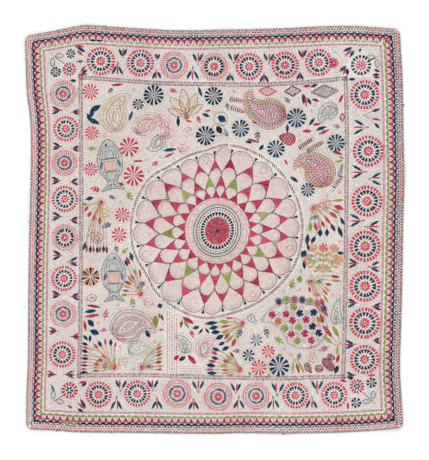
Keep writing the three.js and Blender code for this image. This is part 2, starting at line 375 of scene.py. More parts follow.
def makeThread(name):
    material, tree, shader = newMaterial(name + "Thread", yarn["roughness"])
    spun = addNode(tree, "ShaderNodeGroup", node_tree=spunThread)
    for socket, colour in zip(("Deep", "Faded"), threads[name]):
        spun.inputs[socket].default_value = srgb(*colour)
    bump = addBump(tree, spun.outputs["Height"], *yarn["bump"])
    tree.links.new(spun.outputs["Color"], shader.inputs["Base Color"])
    tree.links.new(bump, shader.inputs["Normal"])
    return material

# The cloth itself: a fine upper face, a coarse underside and the rim between
def clothLines(half, cells):
    first, second = quilt["rimSteps"]
    inner = np.linspace(-half + second, half - second, cells + 1)
    return np.hstack([-half, -half + first, inner, half - first, half])

def makeCloth():
    across, along = clothLines(halfWidth, quilt["cellsAcross"]), clothLines(halfLength, quilt["cellsAlong"])
    lastI, lastJ = len(across) - 1, len(along) - 1
    x, y = (p.ravel() for p in layOut(*np.meshgrid(across, along)))
    low = riseAt(x, y)
    top = low + thicknessAt(x, y)
    upper = np.arange(len(x)).reshape(len(along), len(across))
    lower = upper + len(x)
    cells = np.stack([upper[:-1, :-1], upper[:-1, 1:], upper[1:, 1:], upper[1:, :-1]], -1)
    faces = cells.reshape(-1, 4).tolist()
    coarse = quilt["coarse"]
    for j in range(0, lastJ, coarse):  # underside cells keep every point of the rim
        for i in range(0, lastI, coarse):
            ring = [lower[j, i]]
            ring += list(lower[j + 1:j + coarse, 0]) if i == 0 else []
            ring.append(lower[j + coarse, i])
            ring += list(lower[lastJ, i + 1:i + coarse]) if j == lastJ - coarse else []
            ring.append(lower[j + coarse, i + coarse])
            ring += list(lower[j + 1:j + coarse, lastI][::-1]) if i == lastI - coarse else []
            ring.append(lower[j, i + coarse])
            ring += list(lower[0, i + 1:i + coarse][::-1]) if j == 0 else []
            faces.append([int(p) for p in ring])
    loop = np.hstack([upper[0, :-1], upper[:-1, -1], upper[-1, :0:-1], upper[:0:-1, 0]])
    for p, q in zip(loop.tolist(), np.roll(loop, -1).tolist()):
        faces.append([p + len(x), q + len(x), q, p])
    used = np.unique(np.hstack([np.asarray(f) for f in faces]))
    points = np.vstack([toMetres(x, y, top), toMetres(x, y, low)])
    fresh = np.zeros(len(points), int)
    fresh[used] = np.arange(len(used))
    cloth = newPiece("quiltCloth", points[used].tolist(), [fresh[f].tolist() for f in faces], makeCotton())
    cloth.data.polygons.foreach_set("use_smooth", [True] * len(cloth.data.polygons))
    return cloth

cloth = makeCloth()
print("cloth:", len(cloth.data.polygons), "faces")

# Needlework: every stitch is x, y at both ends, width, height, lift and shade
stitches = {name: [] for name in threads}
toneSpread = 0.22
mapHalf = np.array([450, 480])
covered = np.zeros(2 * mapHalf[::-1], bool)  # a millimetre map of what the motifs take up

def sew(thread, start, end, width=1.6, height=0.5, lift=0.0, tone=0.4):
    start, end = np.atleast_2d(start).astype(float), np.atleast_2d(end).astype(float)
    tone = np.broadcast_to(tone, len(start))
    if isinstance(thread, tuple):  # several threads mixed at random
        pick = rng.integers(0, len(thread), len(start))
        for k in set(pick.tolist()):
            sew(thread[k], start[pick == k], end[pick == k], width, height, lift, tone[pick == k])
        return
    rest = np.empty((len(start), 4))
    rest[:, 0], rest[:, 1], rest[:, 2] = width, height, lift
    rest[:, 3] = np.clip(tone + rng.normal(0, toneSpread, len(start)), 0, 1)
    stitches[thread].append(np.hstack([start, end, rest]))

def inside(outline, x, y):
    hit = np.zeros(np.shape(x), bool)
    for (x0, y0), (x1, y1) in zip(outline, np.roll(outline, -1, axis=0)):
        if y0 != y1:
            hit ^= ((y0 > y) != (y1 > y)) & (x < (x1 - x0) * (y - y0) / (y1 - y0) + x0)
    return hit

def takeUp(outline):  # marks a shape so that the ground's stitches stay off it
    outline = np.asarray(outline)
    low = np.floor(outline.min(axis=0)).astype(int) + mapHalf
    high = np.ceil(outline.max(axis=0)).astype(int) + mapHalf + 1
    x, y = np.meshgrid(*(np.arange(low[k], high[k]) - mapHalf[k] + 0.5 for k in (0, 1)))
    covered[low[1]:high[1], low[0]:high[0]] |= inside(outline, x, y)

def isTaken(points):
    column, row = np.clip(points + mapHalf, 0, 2 * mapHalf - 1).astype(int).T
    return covered[row, column]

def walk(path, at):
    path = np.asarray(path, float)
    run = np.hstack([0, np.cumsum(np.hypot(*np.diff(path, axis=0).T))])
    return pairs(np.interp(at, run, path[:, 0]), np.interp(at, run, path[:, 1])), run[-1]

def wayAlong(path, at, total, near):  # spots on a closed line, and the way it runs there
    spot, ahead = walk(path, at % total)[0], walk(path, (at + near) % total)[0]
    along = ahead - walk(path, (at - near) % total)[0]
    return spot, along / np.maximum(np.hypot(*along.T), 1e-6)[:, None]

def runLine(thread, path, pitch=4.4, share=0.6, width=1.6, height=0.5, shift=0.0, closed=False, wander=0.12,
            lift=0.0, tone=0.4, within=None):
    path = np.asarray(path, float)
    if closed:
        path = np.vstack([path, path[:1]])
    total = walk(path, [0])[1]
    count = max(int(round(total / pitch)), 1)
    step = total / count
    begin = (np.arange(count) + shift + rng.normal(0, 0.05, count)) * step
    stop = begin + share * step
    if closed:
        begin, stop = begin % total, stop % total
    else:
        stop = np.minimum(stop, total)
    start, end = walk(path, begin)[0], walk(path, stop)[0]
    start = start + rng.normal(0, wander, start.shape)
    end = end + rng.normal(0, wander, end.shape)
    keep = np.hypot(*(end - start).T) < 2.5 * step
    if within is not None:
        keep &= inside(within, *((start + end) / 2).T)
    if keep.any():
        sew(thread, start[keep], end[keep], width, height, lift, tone)

def drawLine(thread, path, pitch=3.2, width=1.4, **more):  # stitches that meet end to end
    runLine(thread, path, pitch, 1.12, width, wander=0.08, **more)

def drawShape(thread, outline, **more):
    drawLine(thread, outline, closed=True, **more)

def fillShape(thread, outline, slant=0.0, gap=1.2, reach=7.0, width=1.7, height=0.55, tone=0.4, over=0.35,
              lift=0.0):
    outline = np.asarray(outline, float)
    takeUp(outline)
    c, s = math.cos(slant), math.sin(slant)
    turned = outline @ np.array([[c, -s], [s, c]])
    after = np.roll(turned, -1, axis=0)
    low, high = turned[:, 1].min(), turned[:, 1].max()
    count = max(int(round((high - low) / gap)), 1)
    start, end = [], []
    for k in range(count):
        y = low + (k + 0.5) * (high - low) / count
        cut = (turned[:, 1] <= y) != (after[:, 1] <= y)
        p, q = turned[cut], after[cut]
        xs = np.sort(p[:, 0] + (y - p[:, 1]) / (q[:, 1] - p[:, 1]) * (q[:, 0] - p[:, 0]))
        for left, right in zip(xs[::2], xs[1::2]):
            pieces = max(int(math.ceil((right - left) / reach)), 1)
            marks = np.linspace(left, right, pieces + 1)
            marks[1:-1] += (k % 2 - 0.5) * 0.5 * (right - left) / pieces
            start += [(m - over, y) for m in marks[:-1]]
            end += [(m + over, y) for m in marks[1:]]
    if start:
        back = np.array([[c, s], [-s, c]])
        sew(thread, np.array(start) @ back, np.array(end) @ back, width, height, lift, tone)

def heading(degrees):
    way = math.radians(degrees)
    return np.array([math.cos(way), math.sin(way)])

def rays(angle):  # unit steps at these angles
    return pairs(np.cos(angle), np.sin(angle))

def leftOf(steps):
    return pairs(-steps[:, 1], steps[:, 0])

def roundAbout(x, y, radius, angle):
    return pairs(x + radius * np.cos(angle), y + radius * np.sin(angle))

def circle(x, y, radius, count=48, tall=None, turn=0.0):
    t = np.arange(count) / count * tau
    u, v = radius * np.cos(t), (tall or radius) * np.sin(t)
    c, s = math.cos(turn), math.sin(turn)
    return pairs(x + u * c - v * s, y + u * s + v * c)

def place(points, x, y, size=1.0, turn=0.0, flip=False):
    points = np.asarray(points, float) * size
    if flip:
        points = points * (-1, 1)
    c, s = math.cos(turn), math.sin(turn)
    return points @ np.array([[c, s], [-s, c]]) + (x, y)

def smooth(points, steps=6, closed=True):
    points = np.asarray(points, float)
    n = len(points)
    out = []
    for i in range(n if closed else n - 1):
        around = np.arange(i - 1, i + 3)
        p0, p1, p2, p3 = points[around % n if closed else np.clip(around, 0, n - 1)]
        for t in np.arange(steps) / steps:
            out.append(0.5 * (2 * p1 + (p2 - p0) * t + (2 * p0 - 5 * p1 + 4 * p2 - p3) * t**2
                              + (3 * p1 - p0 - 3 * p2 + p3) * t**3))
    return np.array(out if closed else out + [points[-1]])

def echoRows(outline, palette, gap, pitch, share, width, stop, tone):  # rows that follow an outline inwards
    outline = np.asarray(outline, float)
    middle = outline.mean(axis=0)
    reach = np.hypot(*(outline - middle).T).mean()
    for k in range(1, int(reach * (1 - stop) / gap) + 1):
        row = middle + (outline - middle) * (1 - (k - 0.4) * gap / reach)
        runLine(palette, row, pitch, share, width, height=0.4, shift=0.5 * (k % 2), closed=True, tone=tone)

def leaf(thread, x, y, length, width, turn, tone=None):
    t = np.linspace(0, 1, 9)
    belly = width / 2 * np.sin(math.pi * t) ** 0.8
    upper = pairs(length * (t - 0.5), belly)
    lower = pairs(length * (0.5 - t), -belly)
    outline = np.vstack([upper, lower[1:-1]])
    turn = math.radians(turn)
    if thread == "indigo":  # a faded edge round the dark leaf
        wider = outline * ((length + 1.6) / length, (width + 2.2) / width)
        fillShape("steel", place(wider, x, y, 1, turn), turn, gap=1.5, reach=9, width=2.2, height=0.45,
                  tone=0.2, lift=-0.1)
    if tone is None:
        tone = rng.uniform(0.0, 0.3)
    fillShape(thread, place(outline, x, y, 1, turn), turn, gap=0.95, reach=8, width=1.9, tone=tone)

def wedgeRing(thread, x, y, inner, outer, count, share=0.72, turn=0.0, tone=0.35, narrow=0.4):
    angle = turn + (np.arange(count) + rng.normal(0, 0.06, count)) * tau / count
    out = rays(angle)
    side = leftOf(out)
    tones = tone + rng.normal(0, 0.12, count)
    rows = max(int(round(outer - inner)), 2)
    for k in range(rows):
        t = 1 - (k + 0.5) / rows
        half = max((narrow + (1 - narrow) * t) * share * math.pi / count * outer, 0.5)
        radius = inner + t * (outer - inner)
        middle = (x, y) + out * radius
        sew(thread, middle - side * half, middle + side * half, width=2.1, height=0.55, tone=tones)
        if thread == "indigo" and t > 0.45 and count > 8:  # a faded strand beside the dark ones
            glow = half + min(1.4, 0.3 * (tau / count * radius - 2 * half))
            sew("steel", middle - side * glow, middle + side * glow, 2.0, 0.45, lift=-0.1, tone=0.15)

def slantedRing(thread, x, y, r0, r1, count, shift, lean, **stitch):
    angle = (np.arange(count) + shift) * tau / count
    sew(thread, roundAbout(x, y, r0, angle), roundAbout(x, y, r1, angle + lean / r1), **stitch)

def hatchRing(thread, x, y, inner, outer, pitch, lean, **stitch):
    rows = max(int(round((outer - inner) / 2.4)), 1)
    for k in range(rows):
        r0, r1 = inner + k * (outer - inner) / rows, inner + (k + 1) * (outer - inner) / rows
        slantedRing(thread, x, y, r0, r1, int(tau * r1 / pitch), 0.5 * (k % 2), lean * (r1 - r0), **stitch)

def swirlRing(thread, x, y, inner, outer, pitch, lean, rows=1, **stitch):  # slanted dashes with gaps
    deep = (outer - inner) / rows
    for k in range(rows):
        r0, r1 = inner + (k + 0.06) * deep, inner + (k + 0.94) * deep
        count = int(round(tau * (r0 + r1) / 2 / pitch))
        slantedRing(thread, x, y, r0, r1, count, 0.5 * (k % 2), lean * deep, height=0.55, **stitch)

def sewAll(sewOne, rows):
    for row in rows:
        sewOne(*row)

# Border bands, from the rim inwards; each side is sewn on its own and meets the next at a mitre
border = {
    "ease": {"top": 0.93, "left": 0.93, "right": 1.0, "bottom": 1.0},  # the bands lie closer to two edges
    "reach": (-3, 46),  # insets between which the ground's rows stay out
    "linePoints": 300,
}
dots = {
    "insets": (3.8, 8.3, 12.8), "pitch": 6.3, "cornerRoom": 8, "lean": 1.7,
    "threads": {"left": (("rose", "blush"),) * 3,
                "top": (("rose", "blush"), ("wine", "blush"), ("rose", "wine")),
                "right": (("wine", "rose"), ("wine", "rose", "blush"), ("wine", "slate")),
                "bottom": (("rose", "blush"), ("blush", "wine"), ("rose", "wine"))},
    "between": ("cream", "blush", "blush"),
    # dark: insets of slate rows laid where shade falls between the rows of dots, painted shade sewn as thread
    "dark": {"left": (14.6,), "top": (6.6, 14.8), "bottom": (14.6,), "right": (6.6, 10.6, 14.6)},
}
wave = {"inset": 18.2, "swell": 2.8, "thin": 2.7, "thick": 6.6, "cornerRoom": 18, "pitch": 1.15,
        "limeFrom": -338, "limeTo": -302}  # a stretch of the bottom wave is sewn in lime
teeth = {"base": 22.0, "tip": 33.0, "count": {"top": 56, "bottom": 54, "left": 60, "right": 60}, "rows": 11,
         "dashInset": 15.0, "dashHalf": 4.2, "between": ("blush", "peach", "blush", "dove")}
moons = {"chord": 33.4, "thin": 1.0, "swell": 4.6, "half": 7.0, "cornerRoom": 33, "darkFrom": -276,
         "darkTo": -244, "sparse": ("lime", "lime", "mist", "cream"),
         "dense": ("lime", "lime", "lime", "lime", "mist")}
rope = {"pink": 42.4, "dark": 45.0, "pitch": 3.6, "width": 2.4}

def onSide(side, along, inset):
    inset = np.asarray(inset, float) * border["ease"][side]
    along, inset = np.broadcast_arrays(np.asarray(along, float), inset)
    spots = {"top": (along, halfLength - inset), "bottom": (along, inset - halfLength),
             "left": (inset - halfWidth, along), "right": (halfWidth - inset, along)}
    return np.column_stack(layOut(*spots[side]))

def sewSide(thread, side, along, inset, ahead, deeper, **stitch):  # from one spot of a side to another
    sew(thread, onSide(side, along, inset), onSide(side, ahead, deeper), **stitch)

def sewDots(side, half):
    for k, (thread, inset) in enumerate(zip(dots["threads"][side], dots["insets"])):
        count = int(2 * (half - dots["cornerRoom"]) / dots["pitch"])
        at = (np.arange(count) + 0.5 * (k % 2) + 0.25 - count / 2) * dots["pitch"]
        lean = dots["lean"] if k % 2 else -dots["lean"]
        for off in (-0.6, 0.6):
            sewSide(thread, side, at + off - 0.4, inset - lean, at + off + 0.4, inset + lean,
                    width=2.5, height=0.6, tone=0.1)
        sewSide(dots["between"], side, at + 2.7, inset - lean, at + 3.6, inset + lean,
                width=2.2, lift=0.1, tone=0.85)
    # slate running stitch between the rows of dots stands in for the shade there: painted shade
    for k, inset in enumerate(dots["dark"][side]):
        at = np.linspace(-(half - inset), half - inset, border["linePoints"])
        line = onSide(side, at, inset)
        runLine("slate", line, dots["pitch"], width=1.4, shift=0.25 + 0.5 * (k % 2), wander=0.3)

def sewWave(side, half, pitch):  # a scalloped line of short slanted stitches, with a faded one under it
    at = np.arange(-(half - wave["cornerRoom"]), half - wave["cornerRoom"], wave["pitch"])
    scallop = np.abs(np.sin(math.pi * (at / pitch + 0.5)))
    inset = wave["inset"] + wave["swell"] * (scallop - 0.4)
    deep = (wave["thin"] + (wave["thick"] - wave["thin"]) * scallop) / 2
    swap = (side == "bottom") & (at > wave["limeFrom"]) & (at < wave["limeTo"])
    start, end = onSide(side, at - 0.5, inset - deep), onSide(side, at + 0.9, inset + deep)
    for thread, part in (("indigo", ~swap), ("lime", swap)):
        if part.any():
            sew(thread, start[part], end[part], width=1.9, height=0.6, tone=0.3 if side == "right" else 0.12)
    start, end = onSide(side, at - 0.5, inset - deep - 0.9), onSide(side, at + 0.9, inset + deep + 0.9)
    sew("steel", start[::2], end[::2], width=1.8, lift=-0.1, tone=0.2)

def sewTeeth(side, pitch):
    count, rows = teeth["count"][side], teeth["rows"]
    for k in range(count):
        mid = (k + 0.5 - count / 2) * pitch
        tone = float(np.clip(rng.normal(0.5, 0.16), 0, 1))
        sewSide(("steel", "steel", "mist"), side, mid - teeth["dashHalf"], teeth["dashInset"],
                mid + teeth["dashHalf"], teeth["dashInset"], width=1.7, lift=0.25, tone=0.75)
        base = teeth["base"] + rng.normal(0, 0.4)
        tip = teeth["tip"] + rng.normal(0, 0.5)
        lean = rng.normal(0, 0.7)
        for row in range(rows):
            t = (row + 0.5) / rows
            reach = (1 - t) * pitch * 0.41 + 0.3
            spot = base + t * (tip - base)
            sewSide("madder", side, mid + lean * t - reach, spot, mid + lean * t + reach, spot,
                    width=1.7, height=0.55, tone=tone)
        gap = base + np.arange(5) * 2.3 + 1.2  # pale filling beside each tooth
        away = 0.7 + 0.55 * np.arange(5)
        sewSide(teeth["between"], side, mid + pitch / 2 - away, gap, mid + pitch / 2 + away, gap,
                width=2.0, height=0.45, tone=0.6)
        for sign in (-1, 1):  # darker thread down both flanks, bent in the middle
            bend, halfway = mid + lean * 0.5 + sign * pitch * 0.23, (base + tip) / 2
            flank = {"width": 1.3, "lift": 0.15, "tone": 0.5}
            sewSide("wine", side, mid + sign * pitch * 0.46, base, bend, halfway, **flank)
            sewSide("wine", side, bend, halfway, mid + lean, tip + 0.6, **flank)

def sewMoons(side, half, pitch):  # half moons between the tips of the teeth
    count = teeth["count"][side]
    for k in range(-1, count):
        mid = (k + 1 - count / 2) * pitch
        if abs(mid) > half - moons["cornerRoom"]:
            continue
        tone = rng.uniform(0.3, 0.9) if side == "top" else rng.uniform(0.1, 0.6)
        thread = moons["sparse"] if side == "top" else moons["dense"]
        if side == "top" and moons["darkFrom"] < mid < moons["darkTo"]:
            thread, tone = "indigo", 0.0
        for step in np.arange(-6.8, 6.9, 1.1):
            deep = moons["thin"] + moons["swell"] * math.sqrt(max(0, 1 - (step / moons["half"]) ** 2))
            sewSide(thread, side, mid + step, moons["chord"] - 0.3, mid + step, moons["chord"] + deep,
                    width=1.8, height=0.55, tone=tone)

def sewRope(side, half):
    ends = ("left", "right") if side in ("top", "bottom") else ("bottom", "top")
    low, high = (rope["pink"] * border["ease"][end] for end in ends)
    at = np.linspace(low - half, half - high, border["linePoints"])
    pink, dark = onSide(side, at, rope["pink"]), onSide(side, at, rope["dark"])
    drawLine(("blush", "blush", "rose", "lilac"), pink, rope["pitch"], rope["width"], tone=0.65)
    drawLine("blush", dark, rope["pitch"], rope["width"], tone=0.8)
    runLine(("wine", "lilac", "slate", "rose"), dark, 5.4, 0.56, rope["width"], lift=0.2, tone=0.35)

def sewBorder():
    for side, half in sides.items():
        pitch = 2 * (half - teeth["base"] - 2) / teeth["count"][side]
        sewDots(side, half)
        sewWave(side, half, pitch)
        sewTeeth(side, pitch)
        sewMoons(side, half, pitch)
        sewRope(side, half)
        at = np.linspace(-half, half, 120)
        outer, inner = border["reach"]
        takeUp(np.vstack([onSide(side, at, outer), onSide(side, at[::-1], inner)]))

# Rosettes and the leaf triads between them
sideBelt = 300  # rosettes further out than this lie along the left or right border

def sewRosette(x, y, radius, kind):
    turn = rng.uniform(0, 1)

    def wedges(thread, inner, outer, count, spin=0.0, **look):
        wedgeRing(thread, x, y, radius * inner, radius * outer, count, turn=turn + spin, **look)

    def swirl(thread, inner, outer, **look):
        swirlRing(thread, x, y, radius * inner, radius * outer, **look)

    takeUp(circle(x, y, radius + 8))
    if kind == "single":
        wedges("indigo", 0.66, 1, 16, tone=0.2)
        wedges("madder", 0.28, 0.52, 11, tone=0.45)
        wedges("madder", 0.06, 0.26, 5, tone=0.45)
        return
    if kind in ("wedges", "mixed2"):
        wedges(("madder", "rose", "madder"), 0.8, 1.03, 27, share=0.88, tone=0.36, narrow=0.48)
        drawShape("cream", circle(x, y, radius * 0.77, 60), pitch=3.6, width=2.2, tone=1.0)
    else:
        swirl(("rose", "blush"), 0.71, 1.07, pitch=4.6, lean=0.9, width=3.4, tone=0.3, rows=2)
    if kind == "swirl":
        swirl(("steel", "steel", "indigo"), 0.4, 0.7, pitch=4.3, lean=1.0, width=3.7, tone=0.15)
    else:
        inner, outer, count = (0.45, 0.69, 15) if x < -sideBelt else (0.47, 0.72, 17)
        wedges("indigo", inner, outer, count, share=0.92, tone=0.32 if x > sideBelt else 0.16, narrow=0.36)
    if kind == "wedges":
        swirl(("madder", "rose", "rose"), 0.13, 0.4, pitch=4.7, lean=0.9, width=4.2, tone=0.3)
        wedges("rose", 0.02, 0.1, 4, spin=0.3, share=0.8, tone=0.5)
    else:
        hatchRing("rose", x, y, radius * 0.07, radius * 0.36, pitch=3.0, lean=1.2, width=1.7, tone=0.6)
        swirl("madder", 0.08, 0.38, pitch=4.0, lean=1.1, width=2.6, tone=0.3)
    for k, (spread, mix) in enumerate(((3.4, ("blush", "lilac", "rose")), (6.8, ("steel", "mist", "lilac")))):
        path = circle(x, y, radius + spread, 60)
        runLine(mix, path, 4.8, 0.64, 1.8, 0.4, shift=0.5 * k, closed=True, tone=0.65)

# the way the three leaves point, then x and y of each stem's foot and the leaves' size
triads = [
    (90, [(-201, 376, 22), (-126, 372, 14), (-37, 360, 28), (42, 363, 26), (119, 362, 26), (194, 372, 24)]),
    (-90, [(-212, 370, 31), (-129, 352, 22), (-48, 359, 31), (34, 345, 20), (109, 345, 23),
        (188, 348, 20)]),
    (90, [(-207, -358, 28), (-135, -357, 27), (-35, -360, 29), (47, -362, 25), (138, -368, 32),
        (226, -362, 31)]),
    (-90, [(-216, -365, 32), (-126, -367, 29), (-46, -370, 27), (53, -364, 31), (128, -366, 29),
        (214, -366, 29)]),
    (180, [(-334, 261, 24), (-334, 183, 22), (-336, 108, 22), (-334, 28, 24), (-334, -57, 23),
        (-336, -143, 22)]),
    (0, [(-316, 257, 17), (-315, 178, 17), (-319, 104, 20), (-320, 20, 20), (-324, -71, 24),
        (-318, -148, 20)]),
    (180, [(340, 224, 36), (337, 127, 36), (332, 19, 36), (318, -75, 24), (316, -162, 24),
        (312, -252, 24)]),
    (0, [(337, 111, 30), (328, 6, 35), (337, -82, 26), (344, -170, 22), (346, -245, 18)]),
    (180, [(312, -320, 22)]),
]
redOuter = [(-342, -223, 180, 22), (-318, -235, 0, 22), (-346, -319, 180, 22), (-332, -319, 0, 24)]

def sewTriad(x, y, turn, size, outer="indigo", middle="madder"):
    spread = 17 + 0.2 * size
    for lean, thread, far in ((-spread, outer, 1.0), (0, middle, 0.96), (spread, outer, 1.0)):
        tip = np.array([x, y]) + size * far * 1.08 * heading(turn + lean + rng.normal(0, 2.5))
        length = size * (0.78 if size > 25 else 0.9) * rng.uniform(0.95, 1.05)
        width = (4.2 if size > 20 else 3.7) * (1 if lean else 0.84)
        leafTurn = turn + lean * 1.2
        back = heading(leafTurn) * length
        leaf(thread, *(tip - back / 2), length, width, leafTurn, None if lean else 0.4)
        drawLine("ink" if thread == "indigo" else "wine", [(x, y), tip - back], width=1.3, tone=0.5)

corners = {
    # long-stemmed triad below the first right-hand rosette: thread, x, y, length, turn
    "stemFoot": (327, 252),
    "stemLeaves": [("indigo", 355, 262, 20, 18), ("madder", 355, 242, 24, -12),
                   ("indigo", 357, 228, 18, -42)],
    # small wheels: x, y, radius, and for the dark ones how many wedges
    "darkWheels": [(-316, 386, 10, 8), (-349, 346, 11, 9), (345, -337, 11, 7), (311, -381, 11, 7)],
    "redWheels": [(-319, 352, 14), (-319, -354, 17), (313, -345, 15)],
    "starWheel": (262, 366, 11),
    # sprigs: foot, turn, and the end of the twig
    "sprigs": [(-355, 381, -45, (-330, 364)), (-354, -378, 45, (-333, -365)), (348, -378, 135, (325, -358)),
               (357, 378, -135, (338, 369))],
    "blade": [(-10, 0), (-3, 5), (4, 4.6), (10, 0), (4, -4.6), (-3, -5)],
    "curl": [(262, 392), (272, 384), (279, 370), (278, 356), (268, 344), (262, 345)],
    "curlRing": (265, 395, 7, 24),
}
# loose leaves in the corners: x, y, length, turn, thread
cornerLeaves = [
    (-293, 395, 22, -28, "indigo"), (-297, 402, 24, -6, "madder"), (-296, 388, 18, -42, "madder"),
    (-296, 369, 16, 0, "steel"), (-289, 353, 18, 48, "madder"), (-286, 347, 14, 30, "indigo"),
    (-290, 341, 22, 4, "madder"), (-311, 327, 14, -8, "indigo"), (-290, -336, 18, 10, "madder"),
    (-287, -341, 14, 40, "indigo"), (-293, -388, 22, -42, "madder"), (-289, -383, 24, -58, "indigo"),
    (-295, -398, 16, -30, "indigo"), (293, -388, 18, 88, "madder"), (283, -333, 16, -15, "madder"),
    (345, -321, 18, 8, "madder"), (300, -327, 12, 8, "indigo"), (293, 396, 22, 22, "indigo"),
    (294, 388, 22, 42, "madder"), (302, 386, 18, 58, "indigo"), (320, 394, 9, 60, "wine"),
    (282, 353, 20, 42, "indigo"), (286, 347, 16, 65, "madder"), (292, 346, 16, 92, "indigo"),
    (302, 330, 15, 6, "indigo"), (355, 340, 16, 4, "indigo"), (356, 334, 16, -4, "madder"),
    (357, 322, 16, -50, "indigo"), (357, 349, 14, -24, "wine"), (-356, -349, 18, -62, "steel"),
    (-318, -390, 14, -30, "steel"),
]

def sewBorderMotifs():
    sewAll(sewRosette, rosettes)
    for turn, rows in triads:
        for x, y, size in rows:
            sewTriad(x, y, turn, size)
    for row in redOuter:
        sewTriad(*row, "madder", "indigo")
    for thread, x, y, length, turn in corners["stemLeaves"]:
        leaf(thread, x, y, length, 4.4, turn)
        drawLine("ink", [corners["stemFoot"], (x, y) - length / 2 * heading(turn)], width=0.8)
    for x, y, radius, count in corners["darkWheels"]:
        takeUp(circle(x, y, radius))
        wedgeRing("indigo", x, y, radius * 0.5, radius, count, share=0.8, tone=0.1)
        wedgeRing("indigo", x, y, radius * 0.16, radius * 0.42, 5, share=0.7, tone=0.3)
    for x, y, radius in corners["redWheels"]:
        takeUp(circle(x, y, radius))
        wedgeRing("madder", x, y, radius * 0.6, radius * 1.05, 13, tone=0.25, narrow=0.6)
        wedgeRing("indigo", x, y, radius * 0.16, radius * 0.48, 6, tone=0.1, narrow=0.5)
    x, y, radius = corners["starWheel"]
    wedgeRing("madder", x, y, 2, radius, 12)
    takeUp(circle(x, y, radius))
    for x, y, turn, twig in corners["sprigs"]:
        drawLine("wine", [(x, y), twig], width=2.4)
        for lean in (-48, 48):
            spot = np.array([x, y]) + 14 * heading(turn + lean)
            blade = smooth(place(corners["blade"], *spot, 0.95, math.radians(turn + lean)))
            drawShape("ink", blade, width=1.7, tone=0.5)
            echoRows(blade, ("steel", "lilac"), gap=2.6, pitch=4.4, share=0.6, width=2.0, stop=0.1, tone=0.6)
            takeUp(blade)
        drawLine("ink", [(x, y), (x, y) + 10 * heading(turn + 180)], width=0.9)
    for x, y, length, turn, thread in cornerLeaves:
        leaf(thread, x, y, length, 5.2, turn)
    drawLine("steel", smooth(corners["curl"], closed=False), width=0.8, tone=0.8)
    drawShape("steel", circle(*corners["curlRing"]), width=0.8, tone=0.8)

# The braid of the frame: two rows of slanted stitches that lean against each other
braid = {
    "half": 5.2, "pitch": 6.8, "lean": 4.4, "room": 6,
    "spans": {"top": (-298, 293), "bottom": (-302, 288), "left": (-326, 338), "right": (-328, 338)},
    "under": ("dove", "cream", "blush"),
    "threads": (("lilac", "lilac", "dove"), ("lilac", "blush", "dove", "rose")),
    "between": ("wine", "slate", "lilac"),
}

def sewFrame():
    for side, (low, high) in braid["spans"].items():
        at = np.arange(low, high, braid["pitch"])
        line = frameLine[side](at)
        flat = side in ("top", "bottom")

        def onLine(along, off):
            return np.column_stack([at + along, line + off] if flat else [line + off, at + along])

        for sign, thread in zip((1, -1), braid["threads"]):
            drawLine(braid["under"], onLine(0, sign * braid["half"] / 2), 3.4, 3.2, tone=0.95)
            for ahead, strand, width in ((0, thread, 3.0), (0.42 * braid["pitch"], braid["between"], 2.0)):
                start = onLine(ahead - braid["lean"] / 2, sign * 0.3)
                end = onLine(ahead + braid["lean"] / 2, sign * braid["half"])
                sew(strand, start, end, width, lift=0.25, tone=0.25)
        takeUp(np.vstack([onLine(0, -braid["room"]), onLine(0, braid["room"])[::-1]]))

# The lotus in the middle, hand drawn: neither its rings nor its petals are quite even
petalRows = {  # radius at the tip, where neighbours meet, and at the end
    "inner": (71.0, 89.5, 100.0), "middle": (92.0, 122.0, 139.5), "outer": (126.0, 158.5, 180.5),
}
gapsAt = {  # degrees of the gaps between petals
    "outer": (10, 25.5, 44, 61.5, 79.5, 92, 106, 121.5, 138, 156, 174, 191, 206, 224, 242, 260, 274, 291, 307,
              323, 338.5, 355),
    "middle": (2, 18.5, 34, 53, 71, 86, 99, 115, 131, 149, 166.5, 183.5, 199, 215.5, 234.5, 253, 267.5, 282,
               298, 315.5, 331.5, 349),
}
gapsAt["inner"] = gapsAt["outer"]
limeGaps = (1, 4, 6, 8, 11, 14, 17, 20)  # gaps of the middle row that are sewn in lime
ring = {  # the outer ring's radius by degrees, and its mean
    "mean": 187.0,
    "path": curveThrough([
        (0, 187), (40, 189), (60, 190), (85, 189), (97, 179), (110, 177), (127, 177), (142, 188), (180, 190),
        (196, 188), (206, 184), (215, 184), (224, 190), (245, 193), (260, 194), (280, 184), (300, 181),
        (315, 181), (335, 185), (360, 187)]),
}
allRound = np.arange(240) / 240 * tau

def polar(radius, angle):  # round the lotus, as unevenly as it is drawn
    radius, angle = np.broadcast_arrays(np.asarray(radius, float), np.asarray(angle, float))
    outer, inner = np.clip((radius - 80) / 70, 0, 1), np.clip((75 - radius) / 25, 0, 1)
    bulge = (ring["path"](np.degrees(angle) % 360) / ring["mean"] - 1) * outer
    uneven = 1 + bulge + 0.065 * np.cos(2 * angle - 2.7) * inner
    return roundAbout(lotus["x"], lotus["y"], radius * uneven, angle)

def petalPoints(tip, meet, end, left, right):  # straight sides from the tip, then a round end
    phi = np.linspace(-math.pi / 2, math.pi / 2, 20)
    radius = np.hstack([tip, meet + (end - meet) * np.cos(phi)])
    across = np.hstack([0, np.sin(phi)])
    return polar(radius, (left + right) / 2 + across * (right - left) / 2)

def gapPoints(tip, meet, left, gap, right, below):  # the pointed gap between two petals, over the row below
    across = np.linspace(-1, 1, 41)
    side = tip + (1 - np.abs(across)) * (meet - tip)
    base = np.full(41, 71.5)
    if below is not None:
        base = below[1] + (below[2] - below[1]) * np.sqrt(1 - across**2)
    keep = side > base
    angle = gap + np.where(across > 0, across * (right - gap), across * (gap - left))
    return np.vstack([polar(side[keep], angle[keep]), polar(base[keep], angle[keep])[::-1]])

